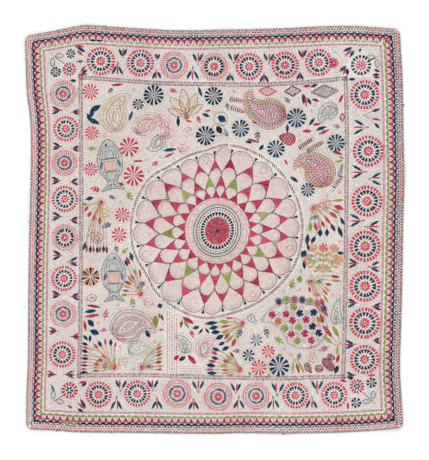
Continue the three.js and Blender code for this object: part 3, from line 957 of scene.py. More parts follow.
def sewPetals():
    below = {"inner": None, "middle": petalRows["inner"], "outer": petalRows["middle"]}
    for row, (tip, meet, end) in petalRows.items():
        gaps = np.radians(gapsAt[row])
        gaps = np.hstack([gaps[-1] - tau, gaps, gaps[0] + tau])
        middles = (gaps[1:] + gaps[:-1]) / 2
        for k in range(1, len(gaps) - 1):
            near, far = tip + rng.normal(0, 0.6), end + rng.normal(0, 0.9)
            petal = petalPoints(near, meet, far, gaps[k], gaps[k + 1])
            drawShape("ink", petal, width=1.5, tone=0.3)
            echoRows(petal, ("blush", "blush", "dove", "blush"), gap=2.7, pitch=4.6, share=0.66, width=2.0,
                     stop=0.0, tone=0.72)
            if row == "outer" and k % 3 == 0:  # a drawn line inside some of the larger petals
                middle = petal.mean(axis=0)
                smaller = middle + (petal - middle) * rng.uniform(0.25, 0.45)
                runLine(("rose", "blush"), smaller, share=0.66, width=1.7, closed=True, lift=0.1, tone=0.7)
            thread = "lime" if row == "middle" and k - 1 in limeGaps else "madder"
            gap = gapPoints(tip, meet, middles[k - 1], gaps[k], middles[k], below[row])
            tone = float(np.clip(rng.normal(0.48, 0.2), 0, 1))
            fillShape(thread, gap, gaps[k] + math.pi / 2, gap=1.1, width=1.9, tone=tone)
    for angle in np.radians(gapsAt["outer"]):  # stems and small triangles outside the outer petals
        drawLine("ink", polar([159.0, 168.0], [angle, angle]), width=1.3)
        for r, half in zip(np.arange(168, 178.5, 1.1), np.linspace(0.4, 4.0, 10)):
            left, right = polar([r], [angle - half / r]), polar([r], [angle + half / r])
            sew("indigo", left, right, 1.7, 0.55, tone=0.05)

def sewDisc():
    for r in np.arange(0.8, 29.4, 1.2):
        wavy = polar(r + 0.9 * np.cos(13 * allRound) * (r > 22), allRound)
        runLine(("madder", "rose", "madder"), wavy, 5.2, 1.05, 1.9, 0.55,
                shift=rng.uniform(0, 1), closed=True, tone=0.22)
    for k in range(8):
        angle = k * tau / 8 + 0.2
        ray = polar([6, 10, 15, 19], angle + np.array([0, 0.1, 0.04, -0.1]))
        cap = polar([22, 23.5, 22], angle + np.array([-0.22, 0, 0.22]))
        runLine(("indigo", "slate"), ray, 4.6, 0.72, 2.0, lift=0.4, tone=0.1)
        runLine("wine", cap, 4.6, 0.72, 1.9, lift=0.4, tone=0.1)
    spokes = np.arange(12) / 12 * tau
    sew(("steel", "indigo"), polar(0.8, spokes), polar(5.4, spokes + 0.2), 2.0, lift=0.45, tone=0.1)

discRings = {  # rings round the disc: radius, threads, then width and tone or tone alone
    "wedges": 35,
    "drawn": [(45.6, "cream", 1.8, 0.8), (48.0, ("ink", "indigo"), 3.2, 0.05), (51.2, "dove", 2.0, 0.8),
              (54.4, ("ink", "indigo"), 2.8, 0.05), (57.4, "dove", 2.0, 0.8)],
    "running": [(60.4, ("rose", "blush"), 0.7), (62.8, ("blush", "cream"), 0.8),
                (65.2, ("blush", "rose"), 0.6), (67.6, ("blush", "mist"), 0.8)],
}

def sewDiscRings():
    count = discRings["wedges"]
    wedges = np.arange(count) / count * tau
    for k, r in enumerate(np.arange(30.8, 38.4, 0.75)):
        half = (0.9 + 0.26 * k) / count
        sew("indigo", polar(r, wedges - half), polar(r, wedges + half), 1.8, 0.6, tone=0.0)
        between = wedges + math.pi / count
        sew("cream", polar(r, between - 0.022), polar(r, between + 0.022), 1.8, tone=0.9)
    runLine("cream", polar(40.4, allRound), 4.0, 0.9, 1.8, closed=True, tone=0.9)
    runLine(("wine", "slate", "wine", "rose"), polar(43.1, allRound), 5.6, 0.62, 4.0, closed=True, tone=0.0)
    for radius, thread, width, tone in discRings["drawn"]:
        drawShape(thread, polar(radius, allRound), pitch=3.4, width=width, tone=tone)
    for radius, thread, tone in discRings["running"]:
        path = polar(radius, allRound)
        runLine(thread, path, share=0.86, width=2.0, shift=rng.uniform(0, 1), closed=True, tone=tone)
    scallops = polar(70.8 + 1.5 * np.cos(22 * allRound), allRound)
    drawShape("blush", scallops, pitch=3.4, width=2.2, tone=0.6)

def sewLotus():
    sewPetals()
    ladder = np.arange(204) / 204 * tau
    inner, outer = polar(184.0, ladder), polar(190.2, ladder + 0.03)
    sew(("wine", "slate", "dove", "wine"), inner, outer, width=2.6, height=0.6, lift=0.2, tone=0.45)
    for radius in (185.4, 188.6):
        drawShape(("dove", "cream", "blush"), polar(radius, allRound), pitch=3.6, width=2.4, tone=1.0)
    sewDisc()
    sewDiscRings()
    takeUp(polar(193, allRound))

# Flowers, fans of leaves and other motifs of the field
# wheels: thread, x, y, radius, spokes
wheels = [
    ("rose", -273, 303, 17, 12), ("rose", -270, 212, 15, 12), ("madder", -188, 181, 21, 11),
    ("madder", -272, 132, 15, 13), ("madder", -178, 118, 22, 11), ("rose", -203, 32, 16, 11),
    ("rose", -210, -12, 16, 10), ("indigo", -134, 295, 22, 13), ("indigo", -168, 275, 12, 9),
    ("indigo", -2, 293, 20, 13), ("indigo", -20, 206, 21, 13), ("indigo", 57, 222, 19, 12),
    ("indigo", 180, 245, 21, 13), ("indigo", 135, 177, 19, 12), ("indigo", 267, 190, 19, 12),
    ("indigo", 205, 87, 15, 11), ("steel", 92, -244, 13, 8), ("indigo", 75, -277, 13, 8),
    ("indigo", 142, -301, 22, 11), ("rose", 118, -268, 14, 9), ("rose", 97, -304, 17, 11),
    ("ochre", -273, -104, 20, 7),
]
# fans: foot, turn of the bud at the foot, then leaves by thread as x, y, length, width, turn
fans = [
    (217, 47, 60, {
        "lime": [(211, 5, 20, 7, -92), (231, 8, 16, 6, -75), (267, 40, 18, 6, -28), (272, 64, 24, 6, 4)],
        "madder": [(222, 6, 20, 7, -80), (238, 12, 16, 6, -62), (249, 20, 20, 6, -55),
            (261, 32, 22, 7, -38), (273, 48, 22, 10, -20)],
        "indigo": [(204, -22, 22, 8, -95), (217, -23, 16, 7, -120), (232, -8, 15, 8, -90),
            (247, -7, 15, 7, -92), (260, 4, 18, 6, -62), (276, -5, 24, 7, -70), (281, 18, 18, 6, -65)]}),
    (210, -115, 30, {
        "lime": [(268, -113, 24, 5, -6), (247, -131, 16, 6, -42), (245, -153, 20, 6, -58),
            (228, -166, 16, 4, -85)],
        "madder": [(265, -104, 20, 6, -8), (250, -121, 13, 6, -8), (243, -138, 16, 5, -50),
            (237, -160, 18, 8, -68), (244, -184, 16, 7, -60), (209, -132, 12, 6, -80)],
        "indigo": [(236, -196, 18, 6, -72)]}),
    (279, -252, None, {
        "lime": [(266, -224, 28, 9, 118), (248, -242, 28, 8, 142), (270, -266, 18, 6, -95)],
        "madder": [(248, -224, 34, 9, 128)]}),
    (61, -207, 60, {
        "lime": [(21, -203, 20, 8, 176), (24, -224, 18, 7, 205), (33, -241, 20, 7, 228)],
        "madder": [(33, -195, 18, 4, 178), (23, -213, 18, 5, 192), (27, -235, 16, 6, 228),
            (42, -249, 18, 8, 248)],
        "indigo": [(-7, -206, 26, 7, 186), (-2, -216, 18, 8, 190), (2, -226, 18, 8, 186),
            (11, -237, 18, 8, 205), (16, -251, 14, 6, 205), (24, -262, 16, 7, 208)]}),
    (56, -308, 90, {
        "lime": [(32, -283, 16, 9, 135), (20, -300, 18, 7, 175), (26, -316, 16, 5, 190)],
        "madder": [(38, -276, 14, 6, 125), (25, -290, 14, 8, 160), (23, -309, 16, 5, 180),
            (34, -320, 18, 4, 195), (0, -272, 14, 6, 155), (-5, -290, 16, 6, 170), (-10, -308, 18, 5, 180)],
        "indigo": [(3, -264, 16, 6, 158), (1, -283, 16, 6, 165), (-8, -299, 18, 8, 172),
            (-6, -316, 20, 7, 180)]}),
    (-220, -303, 60, {
        "lime": [(-250, -283, 12, 4, 140), (-257, -291, 10, 4, 150), (-261, -303, 12, 4, 175),
            (-220, -287, 10, 5, 90)],
        "madder": [(-284, -260, 16, 5, 168), (-284, -277, 15, 4, 176), (-286, -292, 14, 4, 180),
            (-288, -307, 13, 4, 182), (-261, -257, 14, 5, 132), (-240, -248, 13, 5, 98),
            (-218, -253, 12, 4, 80), (-244, -279, 14, 5, 135), (-251, -288, 12, 5, 150),
            (-259, -297, 14, 5, 165), (-260, -311, 14, 5, 178)],
        "indigo": [(-285, -252, 13, 5, 160), (-285, -268, 14, 6, 160), (-285, -284, 15, 5, 174),
            (-286, -299, 14, 4, 180), (-287, -315, 15, 6, 184), (-252, -252, 14, 6, 118),
            (-228, -249, 14, 6, 90)]}),
    (-160, -304, 90, {
        "lime": [(-122, -253, 16, 5, 40), (-122, -269, 14, 6, 18), (-122, -284, 14, 6, 12),
            (-121, -301, 16, 5, 4)],
        "madder": [(-122, -261, 16, 6, 25), (-122, -276, 15, 5, 20), (-123, -292, 14, 6, 8),
            (-121, -308, 12, 4, 0)]}),
    (-162, -142, 60, {
        "lime": [(-175, -94, 14, 4, 115), (-185, -110, 20, 7, 128), (-193, -126, 14, 5, 160),
            (-198, -144, 12, 7, 182)],
        "madder": [(-190, -69, 18, 7, 118), (-164, -97, 18, 5, 98), (-180, -105, 16, 5, 125),
            (-190, -118, 16, 7, 150), (-195, -135, 14, 5, 175)],
        "indigo": [(-183, -60, 18, 7, 110), (-194, -74, 14, 6, 112)]}),
    (-250, 58, 60, {
        "lime": [(-284, 55, 8, 6, 180)],
        "madder": [(-282, 45, 14, 6, -125), (-275, 33, 14, 8, -125), (-265, 26, 14, 6, -105),
            (-252, 19, 16, 7, -92), (-281, -42, 16, 5, -92), (-266, -44, 14, 5, -90),
            (-252, -44, 14, 5, -90), (-237, -45, 16, 6, -88)],
        "indigo": [(-286, -37, 18, 5, -105), (-273, -44, 14, 5, -92), (-258, -45, 14, 4, -90),
            (-244, -43, 14, 5, -90)]}),
    (174, -284, None, {
        "lime": [(172, -304, 26, 6, -92), (190, -303, 28, 6, -62)],
        "madder": [(183, -306, 24, 6, -72)]}),
]
# single leaves: thread, x, y, length, width, turn
leaves = [
    ("madder", -214, 318, 28, 6, 5), ("indigo", -80, 237, 24, 6, 92), ("indigo", -98, 175, 30, 6, 8),
    ("madder", -100, 163, 26, 5, 25), ("madder", -15, 261, 14, 4, 10), ("indigo", -19, 251, 20, 5, -20),
    ("indigo", -32, 303, 24, 5, -70), ("madder", -57, 238, 14, 4, -15), ("indigo", -184, 250, 22, 5, 70),
    ("indigo", -262, 266, 28, 10, 30), ("indigo", -270, 254, 20, 8, 70),
    ("indigo", -266, 238, 30, 9, -24), ("indigo", -276, 246, 20, 7, -65), ("madder", 88, 235, 12, 4, -10),
    ("madder", 85, 195, 28, 5, -18), ("indigo", 75, 192, 16, 5, -10), ("indigo", 103, 180, 16, 6, 50),
    ("indigo", 160, 222, 20, 5, 90), ("indigo", 195, 287, 24, 5, 95), ("madder", 200, 283, 28, 5, -80),
    ("indigo", 208, 282, 18, 5, -60), ("madder", 222, 284, 18, 6, -20), ("madder", 278, 287, 22, 6, 65),
    ("madder", 203, 315, 18, 6, 5), ("indigo", 219, 316, 18, 5, 25), ("indigo", 214, 237, 22, 5, 55),
    ("madder", 224, 231, 18, 6, 10), ("indigo", 234, 222, 26, 6, 20), ("madder", 240, 214, 28, 6, 25),
    ("rose", 203, 216, 22, 7, 0), ("madder", 270, 168, 26, 6, -18), ("lime", 279, 158, 14, 4, -30),
    ("lime", 274, 150, 18, 5, 10), ("madder", 157, 148, 16, 4, -60), ("indigo", 175, 110, 22, 6, -35),
    ("madder", -266, -169, 34, 6, -10), ("indigo", -273, -180, 26, 7, 8),
    ("madder", -269, -190, 36, 7, 8), ("madder", -285, -212, 24, 6, -80),
    ("indigo", -272, -206, 20, 10, -50), ("indigo", -264, -226, 22, 11, -24),
    ("indigo", -284, -238, 16, 5, -50), ("indigo", -274, -240, 16, 5, 85),
    ("lime", -130, -202, 28, 13, -88), ("madder", -121, -190, 14, 4, -70),
    ("slate", -115, -194, 16, 4, -72), ("ochre", -118, -221, 10, 5, 0), ("indigo", -120, -168, 11, 9, 20),
    ("indigo", -147, -230, 18, 8, -60), ("madder", -58, -200, 30, 9, -30),
    ("madder", -73, -208, 18, 6, 78), ("lime", -62, -209, 24, 6, -60), ("madder", -84, -282, 16, 8, 40),
    ("wine", -71, -284, 18, 9, 30), ("madder", -50, -286, 28, 10, -50), ("indigo", -41, -216, 16, 6, 15),
    ("slate", -30, -224, 16, 5, 55), ("slate", -16, -223, 15, 5, -50), ("lime", 187, -110, 16, 11, 80),
    ("indigo", 277, -52, 14, 6, -10), ("indigo", 196, -54, 18, 12, 60), ("slate", 206, -40, 18, 6, 100),
    ("slate", 197, -78, 20, 7, 95), ("madder", 271, -284, 20, 7, 72), ("slate", 268, -308, 20, 9, 68),
    ("madder", -205, 100, 14, 6, -20), ("madder", -168, 150, 26, 4, 4), ("indigo", -275, 68, 18, 7, 12),
    ("lime", 143, -276, 12, 5, 0), ("lime", 120, -321, 10, 5, -20), ("lime", 77, -317, 10, 6, -40),
    ("madder", 212, -314, 8, 4, -10),
]

def sewWheel(thread, x, y, radius, spokes):
    takeUp(circle(x, y, radius + 4.2))
    turn = rng.uniform(0, 1)
    dark = thread == "indigo"
    tone = (0.4 if x > 40 else 0.06) if dark else 0.35
    share = 0.46 if thread == "ochre" else 0.66
    wedgeRing(thread, x, y, radius * 0.16, radius, spokes, share=share, turn=turn, tone=tone, narrow=0.1)
    hub = turn + np.arange(3) * tau / 6
    across = rays(hub) * radius * 0.11
    sew(thread, (x, y) - across, (x, y) + across, width=2.0, lift=0.1, tone=tone)
    echo = ("steel", "mist", "lilac") if dark else ("blush", "rose", "lilac")
    runLine(echo, circle(x, y, radius + 3.2, 40), 4.8, 0.62, 2.0, 0.45, closed=True, tone=0.55)
    if thread == "ochre":  # narrow dark spokes between
        turn += math.pi / spokes
        wedgeRing("indigo", x, y, radius * 0.2, radius, spokes, share=0.4, turn=turn, tone=0.1, narrow=0.16)

stems = ("lime", "peach", "lime", "rose", "mist", "lime", "ochre")

def sewFan(x, y, turn, sprays):
    foot = np.array([x, y], float)
    rows = [(thread, *row) for thread, spray in sprays.items() for row in spray]
    for k, (thread, leafX, leafY, length, width, way) in enumerate(rows):
        out = heading(way)
        base = np.array([leafX, leafY]) - out * length / 2
        bend = base - out * 0.55 * np.hypot(*(base - foot))
        t = np.linspace(0.08, 1, 10)[:, None]
        stem = (1 - t) ** 2 * foot + 2 * t * (1 - t) * bend + t**2 * base
        drawLine(stems[k % len(stems)], stem, 3.4, 2.5, tone=0.6)
        tone = None if thread == "indigo" else rng.uniform(0.2, 0.6)
        leaf(thread, leafX, leafY, length + 2, width, way, tone)
    if turn is not None:
        turn = math.radians(turn)
        fillShape("madder", circle(x, y, 7.0, 20, 5.0, turn), turn, tone=0.5)
        drawShape("rose", circle(x, y, 10.5, 24, 8, turn), tone=0.6)

def sewBars(thread, path, length):  # short stitches across a closed line
    path = np.vstack([path, path[:1]])
    total = walk(path, [0])[1]
    count = max(int(total / 5.8), 3)
    spot, along = wayAlong(path, np.arange(count) * total / count, total, 0.8)
    across = leftOf(along) * length / 2 + along * 0.5
    sew(thread, spot - across, spot + across * 0.3, width=3.4, tone=0.05)
    sew(thread, spot - across * 0.3, spot + across, width=3.4, lift=0.05, tone=0.05)

# Kalkas: round at the foot, with a tip that curls over; rows are worked from the outline inwards
def kalkaRow(inward, bend, long):
    s = np.linspace(0, 1, 60)
    way = math.pi / 2 - bend * s**2.2
    spine = np.cumsum(rays(way) * long / 59, axis=0)
    foot = 1.12 / long
    bulb = np.sqrt(np.maximum(0, 1 - (1 - s / foot) ** 2))
    taper = (1 - np.clip((s - foot) / (1 - foot), 0, 1)) ** 0.85
    wide = np.where(s < foot, bulb, taper)
    side = leftOf(rays(way))
    keep = wide > inward
    if keep.sum() < 5:
        return None
    w = (wide - inward)[keep][:, None]
    return np.vstack([spine[keep] + side[keep] * w, (spine[keep] - side[keep] * w)[::-1]]) - (0, 1.0)

# rows of a kalka: thread, how it is sewn, width
gold = [("slate", "line", 1.6), ("ochre", "bars", 5.2), ("wine", "line", 1.5), ("lilac", "line", 1.8),
        ("indigo", "bars", 4.4), ("rose", "line", 2.6), ("blush", "line", 2.0), ("indigo", "line", 1.8),
        ("rose", "line", 2.4), ("indigo", "dots", 2.8), ("lilac", "line", 2.0), ("madder", "line", 2.4)]
ember = [("ink", "line", 1.6), ("ochre", "bars", 5.4), ("slate", "line", 1.5),
         (("ochre", "madder"), "bars", 4.6), ("lilac", "line", 1.8), ("indigo", "bars", 4.2),
         ("madder", "line", 2.6), ("rose", "line", 2.6), ("wine", "line", 1.6), ("madder", "bars", 4.2),
         ("lilac", "line", 2.2), ("rose", "line", 2.4)]
straw = [("ochre", "line", 1.5), (("lime", "cream", "mist"), "fill", 2.5),
         (("lime", "cream", "peach"), "fill", 2.5), ("ochre", "line", 1.5),
         (("lime", "cream", "mist"), "fill", 2.5), (("cream", "lime"), "fill", 2.5),
         ("ink", "line", 1.3), (("lime", "peach"), "fill", 2.5)]
shell = [("rose", "line", 1.5), (("blush", "cream", "blush"), "fill", 2.5), (("blush", "cream"), "fill", 2.5),
         ("rose", "line", 1.4), (("blush", "cream", "rose"), "fill", 2.5), ("ink", "line", 1.2),
         ("blush", "fill", 2.5)]
coat = [("ink", "line", 1.7), (("blush", "blush", "cream"), "fill", 2.5), ("blush", "fill", 2.5),
        ("ink", "line", 1.3), (("blush", "rose"), "fill", 2.5), (("blush", "cream"), "fill", 2.5),
        ("rose", "line", 1.4), (("mist", "steel"), "fill", 2.5), ("ink", "line", 1.3)]
dusk = [("ink", "line", 1.6), (("steel", "steel", "mist"), "fill", 2.5), (("mist", "cream"), "fill", 2.5),
        ("slate", "line", 1.3), (("steel", "mist"), "fill", 2.5), ("ink", "line", 1.2)]
cloud = [("mist", "line", 1.4), (("cream", "mist"), "fill", 2.6), ("mist", "line", 1.3),
         (("cream", "mist", "peach"), "fill", 2.6)]
kalkas = [  # x, y, half width, length in half widths, turn, flip, bend, rows
    (124, 252, 36, 3.4, 96, False, 2.5, gold), (234, 126, 36, 3.1, 12, True, 2.9, ember),
    (-222, 246, 34, 3.0, 12, False, 2.0, straw), (-158, 228, 24, 3.0, -35, False, 2.2, shell),
    (-104, 214, 16, 4.2, -4, True, 1.6, shell), (-122, 192, 17, 3.0, 165, False, 2.0, dusk),
    (-194, -212, 38, 2.9, -48, False, 2.2, coat), (252, 262, 20, 2.9, 100, True, 2.0, dusk),
    (-172, -262, 20, 3.4, -78, False, 1.4, cloud), (267, -196, 14, 4.6, 2, False, 0.7, dusk),
    (-64, -258, 15, 3.4, 4, True, 1.8, dusk), (-24, -262, 21, 2.6, -6, False, 1.6, shell),
]
# the row that lies under the bars
kalkaUnder = {"ochre": ("lime", "peach", "peach"), "indigo": ("lilac", "steel", "blush")}

def sewKalka(x, y, size, long, turn, flip, bend, rows, deep=99):
    turn = math.radians(turn)
    echo = place(kalkaRow(-4.0 / size, bend, long), x, y, size, turn, flip)
    takeUp(echo)
    runLine(("blush", "lilac", "steel"), echo, 4.8, 0.62, 2.0, 0.45, closed=True, tone=0.6)
    depth, k = 0.0, 0
    while depth <= deep:
        thread, kind, wide = rows[k] if k < len(rows) else rows[1 + k % (len(rows) - 1)]
        row = kalkaRow((depth + wide / 2) / size, bend, long)
        if row is None:
            break
        path = place(row, x, y, size, turn, flip)
        if kind == "line":
            drawShape(thread, path, width=max(1.5, wide), tone=0.25)
        elif kind == "bars":
            drawShape(kalkaUnder.get(thread, ("rose", "blush")), path, width=wide * 0.9, lift=-0.15, tone=0.6)
            sewBars(thread, path, wide)
        elif kind == "dots":
            runLine(thread, path, 6.4, width=3.2, closed=True, tone=0.05)
        else:
            runLine(thread, path, share=0.76, width=2.3, shift=0.5 * (k % 2), closed=True, tone=0.5)
        depth, k = depth + wide + 0.3, k + 1

# Two fish beside the lotus, in greyed blue with rows that follow the outline
fish = {
    "spots": [(-229, 141, 57, 97, False), (-222, -106, 54, -88, True)],  # x, y, size, turn, flip
    "body": [(1.0, 0), (0.78, 0.28), (0.3, 0.48), (-0.25, 0.42), (-0.66, 0.18), (-0.98, 0.44), (-0.9, 0),
             (-0.98, -0.44), (-0.66, -0.18), (-0.25, -0.42), (0.3, -0.48), (0.78, -0.28)],
    "half": ((-0.66, -0.25, 0.3, 0.78, 1.0), (0.18, 0.42, 0.48, 0.28, 0.0)),  # half width along the body
    "rowGap": 2.8,
    "stitchGap": 3.0,
    "patch": [(0.15, 0.24), (0.15, -0.24), (-0.19, -0.24), (-0.19, 0.24)],
    # ribs: share of the width, from, to, thread
    "ribs": [(0.8, 0.24, 0.74, "ink"), (0.58, 0.26, 0.66, "steel"), (0.36, 0.28, 0.56, "ink"),
             (0.8, -0.62, -0.24, "ink"), (0.5, -0.56, -0.26, "ink")],
    "eye": (0.8, 0.07),
}

def sewFish(x, y, size, turn, flip):
    turn = math.radians(turn)

    def put(points):
        return place(points, x, y, size, turn, flip)

    body = smooth(put(fish["body"]), 5)
    drawShape("ink", body, width=1.8, tone=0.3)
    takeUp(body)
    step = fish["stitchGap"] / size
    u, v = np.meshgrid(np.arange(-0.95, 0.95, step), np.arange(-0.48, 0.49, fish["rowGap"] / size))
    u = u + 0.5 * step * (np.arange(u.shape[0]) % 2)[:, None]
    local = pairs(u.ravel(), v.ravel())
    spots = put(local)
    keep = inside(body, *spots.T)
    spots, local = spots[keep], local[keep]
    half = 1.2 * np.array([math.cos(turn), math.sin(turn)])
    band = (np.abs(local[:, 0] + 0.02) < 0.17) & (np.abs(local[:, 1]) < 0.24)
    grey, bright = (("steel", "mist", "steel"), ~band, 0.8), (("ochre", "rose", "peach"), band, 0.45)
    for thread, part, tone in (grey, bright):
        sew(thread, spots[part] - half, spots[part] + half, width=2.2, height=0.45, tone=tone)
    drawShape(("rose", "ochre"), put(fish["patch"]), width=1.7, tone=0.3)
    for share, low, high, thread in fish["ribs"]:
        along = np.linspace(low, high, 8)
        wide = np.interp(along, *fish["half"]) * share
        rib = np.vstack([pairs(along, wide), pairs(along, -wide)[::-1]])
        drawShape(thread, put(rib), width=1.5)
    for wide in (0.1, 0.22, 0.34):  # tail
        for sign in (1, -1):
            drawLine("ink", put([(-0.7, sign * 0.02), (-0.94, sign * wide)]), width=1.3)
    fillShape("indigo", circle(*put([fish["eye"]])[0], 2.6, 14), tone=0.1)
    for fin in (0.5, -0.5):
        root, tip = put([(0.22, fin * 0.6), (-0.14, fin * 0.78)])
        way = math.degrees(math.atan2(*(tip - root)[::-1]))
        leaf("steel", *((root + tip) / 2), float(np.hypot(*(tip - root))), 6, way, 0.3)

# A lotus bloom seen from the side
bloom = {"x": -62, "y": 250, "size": 60, "turn": 8, "threads": ("peach", "peach", "ochre", "cream"),
         "petal": [(0, 0), (0.3, 0.16), (0.62, 0.18), (1.0, 0), (0.62, -0.18), (0.3, -0.16)],
         "petals": [(-64, 0.72), (64, 0.72), (-34, 0.9), (34, 0.9), (0, 1.0)]}  # lean, length

def sewBloom():
    x, y, up = bloom["x"], bloom["y"], 90 + bloom["turn"]
    for lean, long in bloom["petals"]:
        petal = smooth(place(bloom["petal"], x, y, bloom["size"] * long, math.radians(up + lean)))
        drawShape("ink", petal, width=1.5)
        echoRows(petal, bloom["threads"], gap=2.4, pitch=3.8, share=0.7, width=2.1, stop=0.05, tone=0.75)
        takeUp(petal)
    leaf("ochre", *((x, y) - 5 * heading(up)), 14, 7, bloom["turn"])

# Barred fronds: both ends, width, outline, bars
fronds = [
    (36, 268, 64, 258, 10, "wine", ("rose", "wine")), (34, 286, 62, 282, 10, "wine", ("rose", "slate")),
    (186, 178, 216, 200, 11, "wine", ("slate", "wine")), (204, 172, 238, 192, 11, "slate", ("rose", "slate")),
    (262, 92, 280, 116, 9, "slate", ("lilac", "wine")), (274, 116, 281, 142, 8, "slate", ("wine", "lilac")),
]
# Lozenges with a hatched filling: x, y, length, width, turn, outline, threads
lozenges = [
    (116, 304, 42, 23, -3, "rose", ("rose", "lilac", "blush")),
    (172, 304, 38, 24, 4, "wine", ("slate", "mist", "steel")),
    (242, 303, 62, 30, 3, "wine", ("slate", "indigo", "steel")),
    (281, 246, 20, 12, 90, "wine", ("madder", "rose")),
]

def sewLozenge(x, y, length, width, turn, outline, palette):
    turn = math.radians(turn)
    long, wide = length / 2, width / 2
    shape = place([(long, 0), (0, wide), (-long, 0), (0, -wide)], x, y, 1, turn)
    takeUp(shape)
    drawShape(outline, shape, width=2.6)
    inner = (x, y) + (shape - (x, y)) * 0.84
    drawShape(palette[0], inner, width=1.6, tone=0.5)
    for k, off in enumerate(np.arange(-wide + 2, wide, 2.5)):
        row = place([(-long, off), (long, off)], x, y, 1, turn)
        runLine(palette, row, 5.2, 0.66, 2.8, shift=0.5 * (k % 2), within=inner, tone=0.15)

def sewFrond(x0, y0, x1, y1, width, outline, palette):  # narrow strip barred across
    start, end = np.array([x0, y0], float), np.array([x1, y1], float)
    length = np.hypot(*(end - start))
    out = (end - start) / length
    side = np.array([-out[1], out[0]]) * width / 2
    strip = np.array([start - side, end - side * 0.5, end + out * 3, end + side * 0.5, start + side])
    takeUp(strip)
    drawShape(outline, strip, width=1.4, tone=0.2)
    at = np.arange(2.4, length, 4.4)[:, None]
    for lean in (-1.0, 0.0):
        spot = start + out * (at + lean)
        sew(palette, spot - side * 0.72, spot + side * 0.72, width=2.2, tone=0.15)

bush = {"foot": (238, -96), "size": 60, "tone": 0.65, "blossomRadius": 10,
        "blossoms": ("blush", "peach", "rose"), "leaves": ("lime", "peach", "mist"),
        "stems": [(-46, 0.8), (-22, 1.0), (2, 0.92), (24, 1.0), (46, 0.78)],  # lean, length
        "leafAt": (0.24, 0.44, 0.64, 0.82)}

def sewBush():
    foot = np.array(bush["foot"], float)
    tone, radius = bush["tone"], bush["blossomRadius"]
    for k, (lean, reach) in enumerate(bush["stems"]):
        tip = foot + reach * bush["size"] * heading(90 - lean)
        stem = smooth([foot, (foot + tip) / 2 + np.array([lean * 0.12, 0]), tip], 8, False)
        drawLine("ochre", stem, width=1.6, tone=0.5)
        for t in bush["leafAt"]:
            spot = stem[int(t * (len(stem) - 1))]
            for sign in (-1, 1):
                turn = 90 - lean + sign * 48
                leaf(bush["leaves"][(k + (sign > 0)) % 3], *(spot + 8 * heading(turn)), 14, 6, turn, tone)
        takeUp(circle(*tip, radius, 20))
        wedgeRing(bush["blossoms"][k % 3], *tip, 1.2, radius, 7, tone=tone, narrow=0.3)

# Large kalka at the lower right, with blossoms on a lattice and buds along its back
trellis = {
    "place": (200, -214, 52, 3.0, 44, True, 1.5), "cell": (23.0, 20.0), "cells": 8, "reach": 190,
    "rows": [("wine", "line", 1.6), (("lilac", "blush", "cream"), "fill", 2.6),
             (("lilac", "blush"), "fill", 2.6), ("wine", "line", 1.5)],
    "rowsDeep": 7.0,
    "blossoms": ("madder", "indigo", "lime", "madder", "indigo", "ochre", "madder", "lime"),
    "buds": ("indigo", "madder", "lime"), "budGap": 17.5,
}

def sewTrellis():
    x, y, size, long, turn, flip, bend = trellis["place"]
    sewKalka(*trellis["place"], trellis["rows"], trellis["rowsDeep"])
    turn = math.radians(turn)
    hem = place(kalkaRow(9.0 / size, bend, long), x, y, size, turn, flip)
    wide, tall = trellis["cell"]
    cells, reach = trellis["cells"], trellis["reach"]
    for k in range(-cells, cells + 1):
        for off in (-2.2, 2.2):  # double lines
            upright = [(k * wide + off, -reach), (k * wide + off, reach)]
            level = [(-reach, k * tall + off), (reach, k * tall + off)]
            for line in (upright, level):
                path = place(np.linspace(*np.array(line, float), 60), x, y, 1, turn)
                drawLine(("wine", "lilac"), path, 3.4, 1.5, within=hem, tone=0.5)
    u, v = np.meshgrid(*[np.arange(-cells, cells) + 0.5] * 2)
    spots = place(pairs(u.ravel() * wide, v.ravel() * tall), x, y, 1, turn)
    for k, spot in enumerate(spots[inside(hem, *spots.T)]):
        wedgeRing(trellis["blossoms"][k % 8], *spot, 0.6, 7.6, 5, share=0.9, turn=k, tone=0.15, narrow=0.35)
    back = place(kalkaRow(-7.0 / size, bend, long), x, y, size, turn, flip)[16:58]
    for k, spot in enumerate(walk(back, np.arange(7) * trellis["budGap"] + 3)[0]):
        drawShape("ink", circle(*spot, 8.4, 18), width=1.5, tone=0.3)
        fillShape(trellis["buds"][k % 3], circle(*spot, 6.6, 16), slant=0.7, gap=1.15, reach=6, tone=0.35)
        takeUp(circle(*spot, 8.6, 18))

oddments = {
    # upright band of dotted rows, and a dotted strip, at the lower left of the field
    "bandRows": [(-104, "rose"), (-99, "blush"), (-93.5, ("lilac", "slate")), (-88.5, "blush"),
                 (-83.5, "rose")],
    "bandRoom": [(-107, -318), (-81, -318), (-81, -196), (-107, -172)],
    "stripRows": [(-301, "blush"), (-306.3, ("rose", "lime")), (-311.6, ("ochre", "madder")),
                  (-317, ("rose", "lime"))],
    "stripRoom": [(-79, -319), (-24, -319), (-30, -296), (-79, -296)],
    # checked bud under the upper right kalka
    "bud": [(141, 205), (149, 192), (164, 184), (177, 192), (176, 207), (160, 213)],
    # two rings with a drop in each, over the lotus: x, y, radius, thread, turn
    "drops": [(14, 243, 15, "indigo", -35), (8, 219, 14, "slate", -60)],
    # ripe buds along the lower right corner: x, y, length, width, turn, threads
    "ripeBuds": [(205, -303, 21, 14, -65, ("blush", "wine", "peach")),
                 (230, -306, 18, 15, 0, ("blush", "wine", "peach")),
                 (250, -297, 34, 19, -45, ("madder", "wine")),
                 (256, -281, 18, 12, -30, ("blush", "wine", "peach"))],
}

